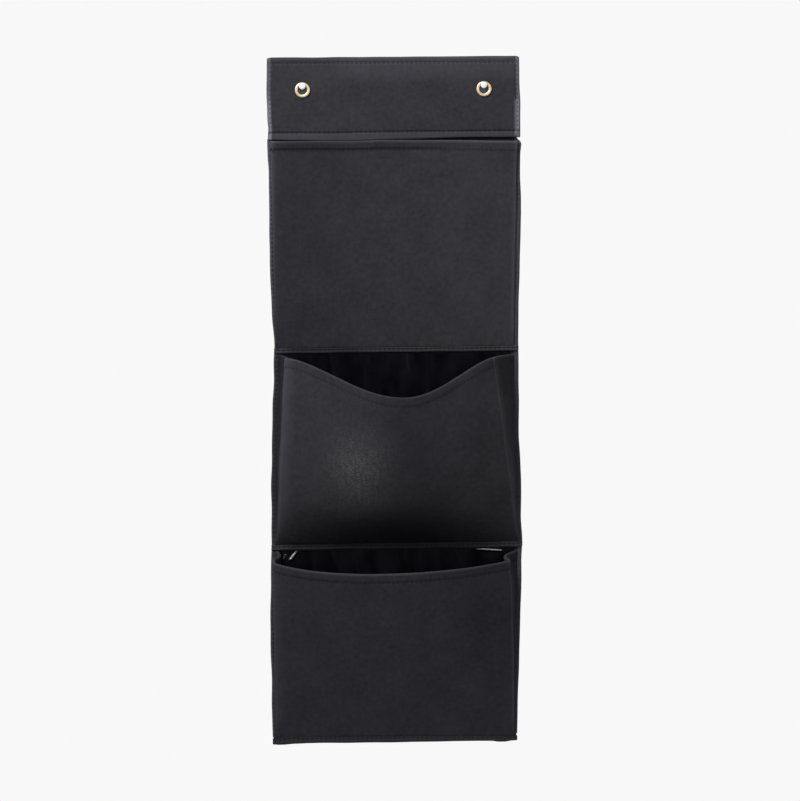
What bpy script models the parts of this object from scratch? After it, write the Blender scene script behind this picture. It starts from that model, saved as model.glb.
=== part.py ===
"""A hanging cloth wall planter: a stiffened header on two eyelets, a back panel and three pockets.

Metres, +Z up, +X to the right and -Y towards the room. The wall is the plane y = 0, and the
origin lies on it, midway between the two eyelets.
"""

import math

import bmesh
import bpy
from mathutils import Vector

# Cloth, lining and the small clearance between pieces that touch
CLOTH = 0.0020
LINING = 0.0004
GAP = 0.0003

# Header: a folded sleeve of cloth with a stiff board inside, as wide as the planter
PLANTER_WIDTH = 0.3020
HEADER_HEIGHT = 0.0964
HEADER_LIP = 0.0010
HEADER_HEM = 0.0078
HEADER_TOP_STITCH = 0.0062
HEADER_SIDE_HEM = 0.0070
HEADER_PINCH = 0.0009
HEADER_ROUND = 0.0010
BOARD = 0.0030

# Eyelets, their washers and the nails that they hang on
EYELET_INSET = 0.0424
EYELET_DROP = 0.0388
EYELET_BORE = 0.0110
EYELET_WALL = 0.0007
EYELET_FLANGE = 0.0190
EYELET_BEAD = 0.0015
EYELET_ROUNDING = 0.0010
WASHER = 0.0008
NAIL_SHANK = 0.0030
NAIL_HEAD = 0.0080
NAIL_HEAD_HEIGHT = 0.0018
NAIL_IN_WALL = 0.0240
NAIL_STANDOFF = 0.0004

# Back panel: how far each side, over the binding, lies inside the planter's width at four heights.
# The load in the middle pocket pulls the panel in at that pocket's mouth.
PULL_AT_HEADER = 0.0005
PULL_AT_WAIST = 0.0055
PULL_AT_SEAM = 0.0013
PULL_AT_FOOT = 0.0048
BINDING = 0.0010
BINDING_LEG = 0.0050

# Seams that close the pockets at the bottom
SEAM_STRIP = 0.0060
FOOT_HEM = 0.0078
FOLD_CLEARANCE = 0.0005

# Hem round each pocket's mouth
MOUTH_HEM = 0.0110
MOUTH_HEM_RISE = 0.0008

# Pockets, from the top. Depths are from the panel to the outside of the cloth, at the mouth.
POCKETS = {
    "top": {
        "drop": 0.0036,
        "height": 0.2466,
        "sag": 0.0010,
        "low_at": 0.0,
        "sag_shape": 2.0,
        "depth": 0.0180,
        "side_depth": 0.0150,
        "belly": 1.0,
        "inset_left": 0.0060,
        "inset_right": 0.0060,
        "foot_inset": 0.0060,
        "bow": 0.0,
    },
    "middle": {
        "drop": 0.0052,
        "height": 0.2258,
        "sag": 0.0490,
        "low_at": 0.10,
        "sag_shape": 1.65,
        "depth": 0.0900,
        "side_depth": 0.0550,
        "belly": 3.4,
        "inset_left": 0.0130,
        "inset_right": 0.0330,
        "foot_inset": 0.0010,
        "bow": 0.0040,
    },
    "bottom": {
        "drop": 0.0132,
        "height": 0.2100,
        "sag": 0.0165,
        "low_at": -0.05,
        "sag_shape": 0.8,
        "depth": 0.0600,
        "side_depth": 0.0360,
        "belly": 1.2,
        "inset_left": 0.0040,
        "inset_right": 0.0140,
        "foot_inset": 0.0010,
        "bow": 0.0030,
    },
}

# The folds curve in towards the mouth by this power of the way up
FOLD_CURVE = 1.3

# How finely the cloth is divided, and how much closer the rows lie at a pocket's foot
PANEL_ROWS = 28
POCKET_COLUMNS = 16
POCKET_ROWS = 11
ROW_SPREAD = 1.25
GUSSET_COLUMNS = 4
ROUND_SIDES = 28
HEAD_STEPS = 4

# Depths, measured from the wall towards the room
HEADER_DEPTH = 2 * CLOTH + BOARD + 2 * GAP
PANEL_BACK = BINDING + GAP
PANEL_FRONT = PANEL_BACK + CLOTH
BINDING_FRONT = PANEL_FRONT + GAP + BINDING
SEAM_DEPTH = 3 * GAP + 2 * LINING + CLOTH
SEAM_FRONT = PANEL_FRONT + SEAM_DEPTH

# Heights, measured from the eyelets
HEADER_TOP = EYELET_DROP
HEADER_FOOT = HEADER_TOP - HEADER_HEIGHT
PANEL_TOP = HEADER_FOOT - GAP

# The narrow column of cloth along each fold, which the gusset meets from behind
FOLD_COLUMN = 2 * CLOTH


def place_pockets():
    """Give each pocket the heights of its mouth, its seam and the seam strip under it."""
    above = HEADER_FOOT
    last = list(POCKETS)[-1]
    for name, pocket in POCKETS.items():
        strip = FOOT_HEM if name == last else SEAM_STRIP
        pocket["ceiling"] = above
        pocket["seam"] = above - pocket["drop"] - pocket["height"]
        pocket["strip_foot"] = pocket["seam"] - strip
        above = pocket["strip_foot"]
    return above


PANEL_FOOT = place_pockets()
WAIST = POCKETS["middle"]["seam"] + POCKETS["middle"]["height"]
LOWER_SEAM = POCKETS["middle"]["seam"]


def eased(share):
    return 0.5 - 0.5 * math.cos(math.pi * min(max(share, 0.0), 1.0))


def half_width(z):
    """Half the width over the binding at a height: it eases between the four named pulls."""
    stations = [
        (HEADER_FOOT, PULL_AT_HEADER),
        (WAIST, PULL_AT_WAIST),
        (LOWER_SEAM, PULL_AT_SEAM),
        (PANEL_FOOT, PULL_AT_FOOT),
    ]
    for (high, upper), (low, lower) in zip(stations, stations[1:]):
        if z >= low or low == PANEL_FOOT:
            share = eased((high - z) / (high - low))
            return PLANTER_WIDTH / 2 - upper - (lower - upper) * share


def from_lowest(pocket, u):
    """Position across the mouth counted from its lowest point, still -1 and 1 at the folds."""
    low = pocket["low_at"]
    side = 1.0 if u >= low else -1.0
    return (u - low) / (side - low) * side


def mouth_height(pocket, u):
    """Height of the mouth's edge above the seam."""
    across = min(abs(from_lowest(pocket, u)), 1.0)
    return pocket["height"] - pocket["sag"] * math.cos(math.pi / 2 * across) ** pocket["sag_shape"]


def mouth_depth(pocket, u):
    across = from_lowest(pocket, u)
    return pocket["side_depth"] + (pocket["depth"] - pocket["side_depth"]) * (1 - across * across)


def fold_reach(pocket, v, side):
    """Distance of a fold from the centre line, at a share v of the way up the fold."""
    foot = half_width(pocket["seam"]) - pocket["foot_inset"]
    mouth = half_width(pocket["seam"] + pocket["height"]) - pocket["inset_" + side]
    return foot + (mouth - foot) * v**FOLD_CURVE


def face_point(pocket, u, v):
    """A point of the pocket's outer face: u from fold to fold, v from the seam to the mouth."""
    left = fold_reach(pocket, v, "left")
    right = fold_reach(pocket, v, "right")
    x = (right - left) / 2 + u * (right + left) / 2
    z = pocket["seam"] + FOLD_CLEARANCE + v * (mouth_height(pocket, u) - FOLD_CLEARANCE)
    swell = 1 - (1 - v) ** pocket["belly"]
    depth = SEAM_DEPTH + (mouth_depth(pocket, u) - SEAM_DEPTH) * swell
    return Vector((x, -PANEL_FRONT - depth, z))


def face_normal(pocket, u, v):
    """The outward normal of that face, from its two slopes."""
    step = 0.004
    u_low, u_high = max(u - step, -1.0), min(u + step, 1.0)
    v_low, v_high = max(v - step, 0.0), min(v + step, 1.0)
    across = face_point(pocket, u_high, v) - face_point(pocket, u_low, v)
    up = face_point(pocket, u, v_high) - face_point(pocket, u, v_low)
    return across.cross(up).normalized()


def layer_point(pocket, u, v, inward):
    return face_point(pocket, u, v) - face_normal(pocket, u, v) * inward


def pocket_columns(pocket):
    """Positions across the pocket: even columns, with one narrow column along each fold."""
    edge = FOLD_COLUMN / half_width(pocket["seam"])
    inner = 1 - edge
    even = [-inner + 2 * inner * i / POCKET_COLUMNS for i in range(POCKET_COLUMNS + 1)]
    return [-1.0] + even + [1.0]


def pocket_rows(pocket):
    """Positions up the pocket: closer at the foot, and a pair where the mouth's hem begins."""
    hem = 1 - MOUTH_HEM / pocket["height"]
    step = MOUTH_HEM_RISE / pocket["height"]
    rows = [hem * (i / POCKET_ROWS) ** ROW_SPREAD for i in range(POCKET_ROWS + 1)]
    return rows + [hem + step, 1.0]


def material(name, colour, roughness, metallic=0.0):
    made = bpy.data.materials.new(name)
    made.use_nodes = True
    shader = made.node_tree.nodes["Principled BSDF"]
    shader.inputs["Base Color"].default_value = (*colour, 1.0)
    shader.inputs["Roughness"].default_value = roughness
    shader.inputs["Metallic"].default_value = metallic
    return made


def finish_mesh(name, made, look, pivot=(0.0, 0.0, 0.0), smooth_angle=None):
    """Turn a bmesh with its faces facing out into a named object whose origin is its pivot."""
    bmesh.ops.recalc_face_normals(made, faces=made.faces[:])
    bmesh.ops.translate(made, vec=-Vector(pivot), verts=made.verts[:])
    mesh = bpy.data.meshes.new(name)
    made.to_mesh(mesh)
    made.free()
    mesh.materials.append(look)
    if smooth_angle is not None:
        mesh.shade_smooth()
        mesh.set_sharp_from_angle(angle=math.radians(smooth_angle))
    piece = bpy.data.objects.new(name, mesh)
    piece.location = pivot
    bpy.context.collection.objects.link(piece)
    return piece


def solid_between(front, back):
    """A closed solid between two grids of points with the same rows and columns."""
    made = bmesh.new()
    grids = [[[made.verts.new(p) for p in row] for row in grid] for grid in (front, back)]
    rows = len(front)
    columns = len(front[0])
    for grid in grids:
        for i in range(rows - 1):
            for j in range(columns - 1):
                low, high = grid[i], grid[i + 1]
                made.faces.new((low[j], low[j + 1], high[j + 1]))
                made.faces.new((low[j], high[j + 1], high[j]))
    rim = [(0, j) for j in range(columns)]
    rim += [(i, columns - 1) for i in range(1, rows)]
    rim += [(rows - 1, j) for j in range(columns - 2, -1, -1)]
    rim += [(i, 0) for i in range(rows - 2, 0, -1)]
    for (i, j), (k, m) in zip(rim, rim[1:] + rim[:1]):
        made.faces.new((grids[0][i][j], grids[0][k][m], grids[1][k][m], grids[1][i][j]))
    return made


def loft(sections):
    """A closed solid through outlines with the same number of points, capped at both ends."""
    made = bmesh.new()
    rings = [[made.verts.new(p) for p in section] for section in sections]
    for low, high in zip(rings, rings[1:]):
        for a, b, c, d in zip(low, low[1:] + low[:1], high[1:] + high[:1], high):
            made.faces.new((a, b, c, d))
    made.faces.new(rings[0])
    made.faces.new(rings[-1])
    return made


def turned(outline, centre, closed):
    """Turn an outline of (radius, y) about the Y axis through the centre; open ends meet the axis."""
    made = bmesh.new()
    x, z = centre
    rings = []
    for radius, y in outline:
        if radius == 0.0:
            rings.append([made.verts.new((x, y, z))] * ROUND_SIDES)
            continue
        angles = [2 * math.pi * i / ROUND_SIDES for i in range(ROUND_SIDES)]
        ring = [(x + radius * math.cos(a), y, z + radius * math.sin(a)) for a in angles]
        rings.append([made.verts.new(p) for p in ring])
    pairs = list(zip(rings, rings[1:]))
    if closed:
        pairs.append((rings[-1], rings[0]))
    for low, high in pairs:
        for i in range(ROUND_SIDES):
            k = (i + 1) % ROUND_SIDES
            corners = dict.fromkeys((low[i], low[k], high[k], high[i]))
            made.faces.new(tuple(corners))
    return made


def box(low, high):
    made = bmesh.new()
    bmesh.ops.create_cube(made, size=1.0)
    low, high = Vector(low), Vector(high)
    size = high - low
    for vert in made.verts:
        vert.co = (low + high) / 2 + Vector(a * b for a, b in zip(vert.co, size))
    return made


def cut(piece, name, made):
    """Cut a shape out of the piece with a hidden cutter."""
    cutter = finish_mesh(name, made, piece.data.materials[0])
    cutter.hide_render = True
    cutter.display_type = "WIRE"
    cutting = piece.modifiers.new(name, "BOOLEAN")
    cutting.operation = "DIFFERENCE"
    cutting.object = cutter


def make_header(cloth):
    """The folded sleeve: flat behind, a stitched fold on top and a raised hem at the foot."""
    front = -HEADER_DEPTH
    pinched = front + HEADER_PINCH
    stitch = HEADER_TOP - HEADER_TOP_STITCH
    outline = [
        (0.0, HEADER_FOOT),
        (front - HEADER_LIP, HEADER_FOOT),
        (front - HEADER_LIP, HEADER_FOOT + HEADER_HEM),
        (front, HEADER_FOOT + HEADER_HEM + HEADER_LIP),
        (front, stitch - HEADER_PINCH),
        (pinched, stitch),
        (pinched, HEADER_TOP - HEADER_ROUND),
        (pinched + HEADER_ROUND, HEADER_TOP),
        (-HEADER_ROUND, HEADER_TOP),
        (0.0, HEADER_TOP - HEADER_ROUND),
    ]
    side = PLANTER_WIDTH / 2
    plain = side - EYELET_INSET - EYELET_FLANGE
    sections = [[(x, y, z) for y, z in outline] for x in (-side, -plain, plain, side)]
    sleeve = finish_mesh("header_sleeve", loft(sections), cloth)
    reach = board_reach()
    low = (-reach - GAP, -HEADER_DEPTH + CLOTH, board_foot() - GAP)
    high = (reach + GAP, -CLOTH, board_top() + GAP)
    cut(sleeve, "cut_for_board", box(low, high))
    recess = EYELET_FLANGE / 2 + GAP
    barrel = barrel_radius() + GAP
    past_front = front - HEADER_LIP
    rim = [
        (0.0, past_front),
        (barrel, past_front),
        (barrel, -WASHER - GAP),
        (recess, -WASHER - GAP),
        (recess, GAP),
        (0.0, GAP),
    ]
    for side_name, x in eyelet_places():
        cut(sleeve, "cut_for_eyelet_" + side_name, turned(rim, (x, 0.0), False))


def board_reach():
    return PLANTER_WIDTH / 2 - HEADER_SIDE_HEM


def board_foot():
    return HEADER_FOOT + HEADER_HEM + HEADER_LIP


def board_top():
    return HEADER_TOP - HEADER_TOP_STITCH - CLOTH


def eyelet_places():
    place = PLANTER_WIDTH / 2 - EYELET_INSET
    return (("left", -place), ("right", place))


def barrel_radius():
    return EYELET_BORE / 2 + EYELET_WALL


def make_board(look):
    """The stiffening board inside the header, with a hole round each eyelet's barrel."""
    reach = board_reach()
    low = (-reach, -CLOTH - GAP - BOARD, board_foot())
    high = (reach, -CLOTH - GAP, board_top())
    board = finish_mesh("header_board", box(low, high), look)
    radius = barrel_radius() + GAP
    rim = [(0.0, -HEADER_DEPTH), (radius, -HEADER_DEPTH), (radius, 0.0), (0.0, 0.0)]
    for side, x in eyelet_places():
        cut(board, "cut_board_" + side, turned(rim, (x, 0.0), False))


def make_eyelets(brass, steel):
    """Each eyelet is a flange with a rounded rim and a barrel; its washer lies flush behind."""
    bore = EYELET_BORE / 2
    barrel = barrel_radius()
    rim = EYELET_FLANGE / 2
    seat = -HEADER_DEPTH - GAP
    crown = seat - EYELET_BEAD
    bend = EYELET_BEAD / 2
    profile = [(bore, -GAP), (barrel, -GAP), (barrel, seat), (rim, seat), (rim, crown + bend)]
    profile += arc((rim - EYELET_ROUNDING, crown + bend), EYELET_ROUNDING, bend, 1)
    profile += reversed(arc((bore + EYELET_ROUNDING, crown + bend), -EYELET_ROUNDING, bend, 1))
    profile.append((bore, crown + bend))
    ring = [(barrel + GAP, -WASHER), (rim, -WASHER), (rim, -GAP), (barrel + GAP, -GAP)]
    for side, x in eyelet_places():
        finish_mesh("eyelet_" + side, turned(profile, (x, 0.0), True), brass, smooth_angle=50)
        finish_mesh("eyelet_washer_" + side, turned(ring, (x, 0.0), True), steel, smooth_angle=50)


def arc(centre, across, deep, steps):
    """Points of a quarter round from the side to the crown, the side's own point left out."""
    points = []
    for i in range(1, steps + 2):
        angle = math.pi / 2 * i / (steps + 1)
        points.append((centre[0] + across * math.cos(angle), centre[1] - deep * math.sin(angle)))
    return points


def make_nails(look):
    """A nail through each eyelet: the bore's top hangs on the shank."""
    shank = NAIL_SHANK / 2
    height = EYELET_BORE / 2 - shank - GAP
    under = -HEADER_DEPTH - GAP - EYELET_BEAD - NAIL_STANDOFF
    dome = arc((0.0, under), NAIL_HEAD / 2, NAIL_HEAD_HEIGHT, HEAD_STEPS - 1)
    outline = [(0.0, dome[-1][1])] + dome[-2::-1]
    outline += [(NAIL_HEAD / 2, under), (shank, under), (shank, NAIL_IN_WALL - NAIL_SHANK)]
    outline.append((0.0, NAIL_IN_WALL))
    for side, x in eyelet_places():
        finish_mesh("wall_nail_" + side, turned(outline, (x, height), False), look, smooth_angle=50)


def panel_heights():
    return [PANEL_FOOT + (PANEL_TOP - PANEL_FOOT) * i / PANEL_ROWS for i in range(PANEL_ROWS + 1)]


def sheet_rows(low, high):
    """Heights for a flat sheet: the panel's own rows that lie well inside it, and its two ends."""
    margin = (PANEL_TOP - PANEL_FOOT) / PANEL_ROWS / 3
    inside = [z for z in panel_heights() if low + margin < z < high - margin]
    return [low] + inside + [high]


def flat_sheet(rows, edge_in, back, thickness):
    """An upright sheet between two depths, whose sides stay a set distance inside the binding."""
    grids = []
    for depth in (back + thickness, back):
        grid = []
        for z in rows:
            reach = half_width(z) - edge_in
            grid.append([(-reach, -depth, z), (0.0, -depth, z), (reach, -depth, z)])
        grids.append(grid)
    return solid_between(*grids)


def make_panel(cloth):
    """The back panel, one length of cloth from the header to the foot."""
    foot = PANEL_FOOT + BINDING + GAP
    rows = sheet_rows(foot, PANEL_TOP)
    finish_mesh("back_panel", flat_sheet(rows, BINDING + GAP, PANEL_BACK, CLOTH), cloth)


def make_bindings(tape):
    """A folded tape round each side edge of the panel."""
    legs = PANEL_FRONT + GAP
    rows = sheet_rows(PANEL_FOOT + FOOT_HEM + GAP, PANEL_TOP)
    for side, sign in (("left", -1), ("right", 1)):
        sections = []
        for z in rows:
            outer = half_width(z)
            shape = [
                (outer, 0.0),
                (outer, legs + BINDING),
                (outer - BINDING_LEG, legs + BINDING),
                (outer - BINDING_LEG, legs),
                (outer - BINDING, legs),
                (outer - BINDING, BINDING),
                (outer - BINDING_LEG, BINDING),
                (outer - BINDING_LEG, 0.0),
            ]
            sections.append([(sign * x, -depth, z) for x, depth in shape])
        finish_mesh("edge_binding_" + side, loft(sections), tape)


def make_seam_strips(tape):
    """The sewn-down seam under the top and middle pockets, stepped over the side binding."""
    for name in list(POCKETS)[:-1]:
        pocket = POCKETS[name]
        sections = []
        for z in (pocket["strip_foot"], pocket["seam"]):
            outer = half_width(z)
            inner = outer - BINDING_LEG - GAP
            over = BINDING_FRONT + GAP
            under = PANEL_FRONT + GAP
            shape = [
                (-outer, SEAM_FRONT),
                (outer, SEAM_FRONT),
                (outer, over),
                (inner, over),
                (inner, under),
                (-inner, under),
                (-inner, over),
                (-outer, over),
            ]
            sections.append([(x, -depth, z) for x, depth in shape])
        finish_mesh("seam_strip_" + name, loft(sections), tape)


def make_foot_hem(tape):
    """The hem that closes the foot: it wraps the panel's lower edge."""
    top = PANEL_FOOT + FOOT_HEM
    shape = [
        (0.0, PANEL_FOOT),
        (SEAM_FRONT, PANEL_FOOT),
        (SEAM_FRONT, top),
        (PANEL_FRONT + GAP, top),
        (PANEL_FRONT + GAP, PANEL_FOOT + BINDING),
        (BINDING, PANEL_FOOT + BINDING),
        (BINDING, top),
        (0.0, top),
    ]
    reach = half_width(PANEL_FOOT)
    ends = [[(x, -depth, z) for depth, z in shape] for x in (-reach, reach)]
    finish_mesh("foot_hem", loft(ends), tape)


def hinge_point(pocket):
    """The pocket front turns about the middle of its cloth, at its seam."""
    return (0.0, -SEAM_FRONT + CLOTH / 2, pocket["seam"])


def make_pocket_front(name, pocket, cloth):
    """The front of a pocket, with its hem standing a little proud round the mouth."""
    columns = pocket_columns(pocket)
    rows = pocket_rows(pocket)
    outer = []
    for i, v in enumerate(rows):
        rise = MOUTH_HEM_RISE if i > POCKET_ROWS else 0.0
        outer.append([layer_point(pocket, u, v, -rise) for u in columns])
    inner = [[layer_point(pocket, u, v, CLOTH) for u in columns] for v in rows]
    made = solid_between(outer, inner)
    finish_mesh("pocket_front_" + name, made, cloth, hinge_point(pocket), smooth_angle=30)


def make_front_lining(name, pocket, film):
    """The waterproof film behind the pocket front, from its seam up to the hem's stitching."""
    columns = pocket_columns(pocket)[1:-1]
    rows = pocket_rows(pocket)[1 : POCKET_ROWS + 1]
    near = CLOTH + GAP
    outer = [[layer_point(pocket, u, v, near) for u in columns] for v in rows]
    inner = [[layer_point(pocket, u, v, near + LINING) for u in columns] for v in rows]
    finish_mesh("lining_front_" + name, solid_between(outer, inner), film, hinge_point(pocket), 30)


def make_back_lining(name, pocket, film):
    """The waterproof film on the panel, from the pocket's seam to just under what is above it."""
    edge_in = BINDING_LEG + 2 * CLOTH
    low = pocket["seam"] + CLOTH
    high = pocket["ceiling"] - CLOTH
    made = flat_sheet(sheet_rows(low, high), edge_in, PANEL_FRONT + GAP, LINING)
    finish_mesh("lining_back_" + name, made, film)


def gusset_row(pocket, side, v, layer):
    """Points from the panel to the back of the fold: out past the binding, then across and bowed in."""
    sign = -1 if side == "left" else 1
    tall = pocket["ceiling"] - CLOTH - pocket["seam"]
    z = pocket["seam"] + FOLD_CLEARANCE + v * (tall - FOLD_CLEARANCE)
    x = sign * (half_width(z) - BINDING_LEG - GAP - layer)
    back = Vector((x, -PANEL_FRONT - GAP, z))
    knee = Vector((x, -BINDING_FRONT - GAP, z))
    mean_reach = (fold_reach(pocket, v, "left") + fold_reach(pocket, v, "right")) / 2
    front = layer_point(pocket, sign * (1 - layer / mean_reach), v, CLOTH + GAP)
    row = [back, knee]
    for k in range(1, GUSSET_COLUMNS + 1):
        share = k / GUSSET_COLUMNS
        point = knee.lerp(front, share)
        point.x -= sign * pocket["bow"] * v * math.sin(math.pi * share)
        row.append(point)
    return row


def make_gusset(name, pocket, side, cloth):
    """The side wall of a pocket, sewn beside the binding and meeting the back of the fold."""
    rows = pocket_rows(pocket)[1:]
    outer = [gusset_row(pocket, side, v, GAP / 2) for v in rows]
    inner = [gusset_row(pocket, side, v, GAP / 2 + CLOTH) for v in rows]
    made = solid_between(outer, inner)
    finish_mesh("gusset_" + name + "_" + side, made, cloth, smooth_angle=30)


def clear_scene():
    for old in list(bpy.data.objects):
        bpy.data.objects.remove(old)


def main():
    clear_scene()
    header_cloth = material("header_cloth", (0.052, 0.053, 0.058), 0.85)
    panel_cloth = material("panel_cloth", (0.026, 0.027, 0.030), 0.88)
    pocket_cloth = material("pocket_cloth", (0.034, 0.035, 0.039), 0.88)
    tape = material("binding_tape", (0.045, 0.046, 0.050), 0.80)
    film = material("lining_film", (0.012, 0.012, 0.013), 0.25)
    board = material("stiff_board", (0.030, 0.030, 0.032), 0.60)
    brass = material("eyelet_brass", (0.62, 0.42, 0.16), 0.28, 1.0)
    steel = material("washer_steel", (0.55, 0.50, 0.38), 0.35, 1.0)
    nail_paint = material("nail_paint", (0.86, 0.86, 0.84), 0.35)

    make_header(header_cloth)
    make_board(board)
    make_eyelets(brass, steel)
    make_nails(nail_paint)
    make_panel(panel_cloth)
    make_bindings(tape)
    make_seam_strips(tape)
    make_foot_hem(tape)
    for name, pocket in POCKETS.items():
        make_pocket_front(name, pocket, pocket_cloth)
        make_front_lining(name, pocket, film)
        make_back_lining(name, pocket, film)
        for side in ("left", "right"):
            make_gusset(name, pocket, side, panel_cloth)


main()
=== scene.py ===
"""The looks of the hanging cloth wall planter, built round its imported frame.

Metres, in the frame's own axes: +X right along the wall, +Y into the wall, +Z up. The origin
lies on the wall, midway between the two eyelets.
"""

import math

import bmesh
import bpy
import numpy as np
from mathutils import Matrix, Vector


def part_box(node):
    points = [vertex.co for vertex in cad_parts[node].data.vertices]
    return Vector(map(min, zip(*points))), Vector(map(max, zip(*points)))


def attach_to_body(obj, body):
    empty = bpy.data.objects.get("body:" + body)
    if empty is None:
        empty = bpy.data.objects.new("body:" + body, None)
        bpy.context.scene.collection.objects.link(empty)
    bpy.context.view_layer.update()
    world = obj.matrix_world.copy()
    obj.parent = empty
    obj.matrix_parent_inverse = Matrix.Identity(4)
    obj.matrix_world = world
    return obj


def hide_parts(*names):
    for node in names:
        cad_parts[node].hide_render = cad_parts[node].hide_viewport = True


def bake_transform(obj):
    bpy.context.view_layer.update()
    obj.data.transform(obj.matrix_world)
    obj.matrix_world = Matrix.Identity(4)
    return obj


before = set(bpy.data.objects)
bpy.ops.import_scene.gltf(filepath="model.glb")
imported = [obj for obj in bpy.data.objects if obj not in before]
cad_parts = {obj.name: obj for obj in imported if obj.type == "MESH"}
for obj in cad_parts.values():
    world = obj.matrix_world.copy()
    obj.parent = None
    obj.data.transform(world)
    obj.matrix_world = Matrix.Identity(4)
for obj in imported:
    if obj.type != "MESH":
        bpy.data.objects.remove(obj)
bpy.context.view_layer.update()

# Cloth, film and the small clearances, as in the frame
CLOTH = 0.0020
LINING = 0.0004
GAP = 0.0003
BOARD = 0.0030
BINDING = 0.0010
BINDING_LEG = 0.0050

# Header
HEADER_HEM = 0.0062
HEADER_LIP = 0.0010
HEADER_SIDE_HEM = 0.0070
HEADER_TOP_STITCH = 0.0073
HEADER_SIDE_STITCH = 0.0036
HEADER_EDGE = 0.0043
HEADER_SIDE_EDGE = 0.0066
HEADER_ROUND = 0.0010
HEADER_CORNER = 0.0060
HEADER_OFF_WALL = 0.0002
# Finer steps of the header's mesh: the length of each end, and the share of height at top and foot
HEADER_END = 0.0120
HEADER_DENSE = 0.13
EYELET_BORE = 0.0110
EYELET_WALL = 0.0007
EYELET_FLANGE = 0.0190
EYELET_BEAD = 0.0015
WASHER = 0.0008
NAIL_SHANK = 0.0030
NAIL_HEAD = 0.0080
NAIL_HEAD_HEIGHT = 0.0018
NAIL_IN_WALL = 0.0240
NAIL_STANDOFF = 0.0004
NAIL_HEAD_OFF = 0.0007

# How far each side of the panel lies inside the planter's width at four heights
PULLS = (0.0005, 0.0055, 0.0013, 0.0048)

# Pockets: their form as in the frame, in metres. Pairs belong to the left (-1) and right (1) side.
# fold: how far the side fold lies inside the panel's edge at the seam and at the mouth, and how
# it moves between them. bow, tuck: how far the gusset bends inward, on its way up and at the
# mouth. round: the fold's radius. crest: how pale the fold's crest is painted, partly rubbed and
# partly a painted highlight, and how widely. dark: how much painted shade darkens the gusset.
# stitched: how hard the rim's stitches are pulled in. knee: how far below its ceiling each gusset
# ends beside the panel. relief: the height of its unevenness. rim: how far the rim stands above
# its even curve (share across, millimetres). rim_wear_and_highlight: how pale the rim is painted,
# partly rubbed and partly a painted highlight, and how deep. fold_highlight: how pale a painted
# highlight makes the front beside its left fold, and how widely. loose: how far the front and the
# back film crumple away from the cloth.
POCKETS = {
    "top": dict(
        height=0.2466, sag=0.0010, low_at=0.0, sag_shape=(2.0, 2.0), depth=0.0130,
        side_depth=0.0046, belly=1.0, fold={-1: (0.0034, 0.0022, 1.3), 1: (0.0020, 0.0016, 1.3)},
        bow=0.0, tuck={-1: 0.0, 1: 0.0}, round={-1: 0.0034, 1: 0.0030},
        crest={-1: (0.0, 0.002), 1: (0.38, 0.0026)}, dark={-1: 0.10, 1: 0.0}, stitched=1.0,
        knee=0.0032, relief=0.0005, rim_wear_and_highlight=(0.80, 0.0036), fold_highlight=(0.0, 0.016), seed=71,
        film_seed=91, loose=(0.0016, 0.0006), rim=(
            (-1.0, -0.3), (-0.88, -0.5), (-0.34, -0.4), (-0.20, 0.3), (-0.12, 0.9),
            (0.0, 0.9), (0.27, 0.6), (0.54, 0.3), (0.75, -0.6), (0.95, -0.9),
        ),
    ),
    "middle": dict(
        height=0.2212, sag=0.0477, low_at=0.145, sag_shape=(1.60, 1.42), depth=0.0900,
        side_depth=0.0550, belly=3.4, fold={-1: (0.0063, 0.0150, 0.55), 1: (0.0010, 0.0268, 1.0)},
        bow=0.0040, tuck={-1: 0.0, 1: 0.0}, round={-1: 0.0050, 1: 0.0036},
        crest={-1: (0.20, 0.0016), 1: (0.62, 0.0015)}, dark={-1: 0.55, 1: 0.22}, stitched=0.62,
        knee=0.0010, relief=0.0009, rim_wear_and_highlight=(0.45, 0.0024), fold_highlight=(0.36, 0.020), seed=72,
        film_seed=93, loose=(0.0028, 0.0016), rim=((0.0, 0.0),),
    ),
    "bottom": dict(
        height=0.2121, sag=0.0161, low_at=-0.165, sag_shape=(0.50, 0.70), depth=0.0600,
        side_depth=0.0360, belly=1.2, fold={-1: (0.0025, 0.0040, 1.3), 1: (0.0024, 0.0111, 2.0)},
        bow=0.0030, tuck={-1: 0.0030, 1: 0.0060}, round={-1: 0.0050, 1: 0.0036},
        crest={-1: (0.16, 0.0020), 1: (0.95, 0.0014)}, dark={-1: 0.45, 1: 0.28}, stitched=0.86,
        knee=0.0010, relief=0.0007, rim_wear_and_highlight=(0.90, 0.0024), fold_highlight=(0.26, 0.016), seed=73,
        film_seed=95, loose=(0.0028, 0.0016), rim=((0.0, 0.0),),
    ),
}
FOLD_CLEARANCE = 0.0005

# Mouth hems: the cloth is folded in and stitched through
HEM = 0.0126
HEM_STITCH = 0.0103
HEM_RISE = 0.0005
HEM_THICK = 0.0038

# Sewing
STITCH_PITCH = 0.0055
STITCH_LENGTH = 0.0032
THREAD = 0.0008
GROOVE = 0.0008
GROOVE_WIDTH = 0.0013
SEAM_REACH = 0.0028
# How far from a tape's edge its row of stitches runs, and how far inside its edge a strip ends
BINDING_SEAM = 0.0019
FOOT_SEAM = 0.0014
STRIP_EDGE = 0.0006

# Depths from the wall
HEADER_DEPTH = 2 * CLOTH + BOARD + 2 * GAP
PANEL_BACK = BINDING + GAP
PANEL_FRONT = PANEL_BACK + CLOTH
BINDING_FRONT = PANEL_FRONT + GAP + BINDING
SEAM_DEPTH = 3 * GAP + 2 * LINING + CLOTH
SEAM_FRONT = PANEL_FRONT + SEAM_DEPTH

# Heights, read from the frame
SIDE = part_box("header_sleeve")[1].x
HEADER_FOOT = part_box("header_sleeve")[0].z
HEADER_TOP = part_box("header_sleeve")[1].z
PANEL_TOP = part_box("back_panel")[1].z
PANEL_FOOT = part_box("foot_hem")[0].z
STRIPS = {"top": "seam_strip_top", "middle": "seam_strip_middle", "bottom": "foot_hem"}
# How far the middle strip is sewn above the frame's even place
STRIP_RISE = {"top": 0.0, "middle": 0.0021, "bottom": 0.0}

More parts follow.
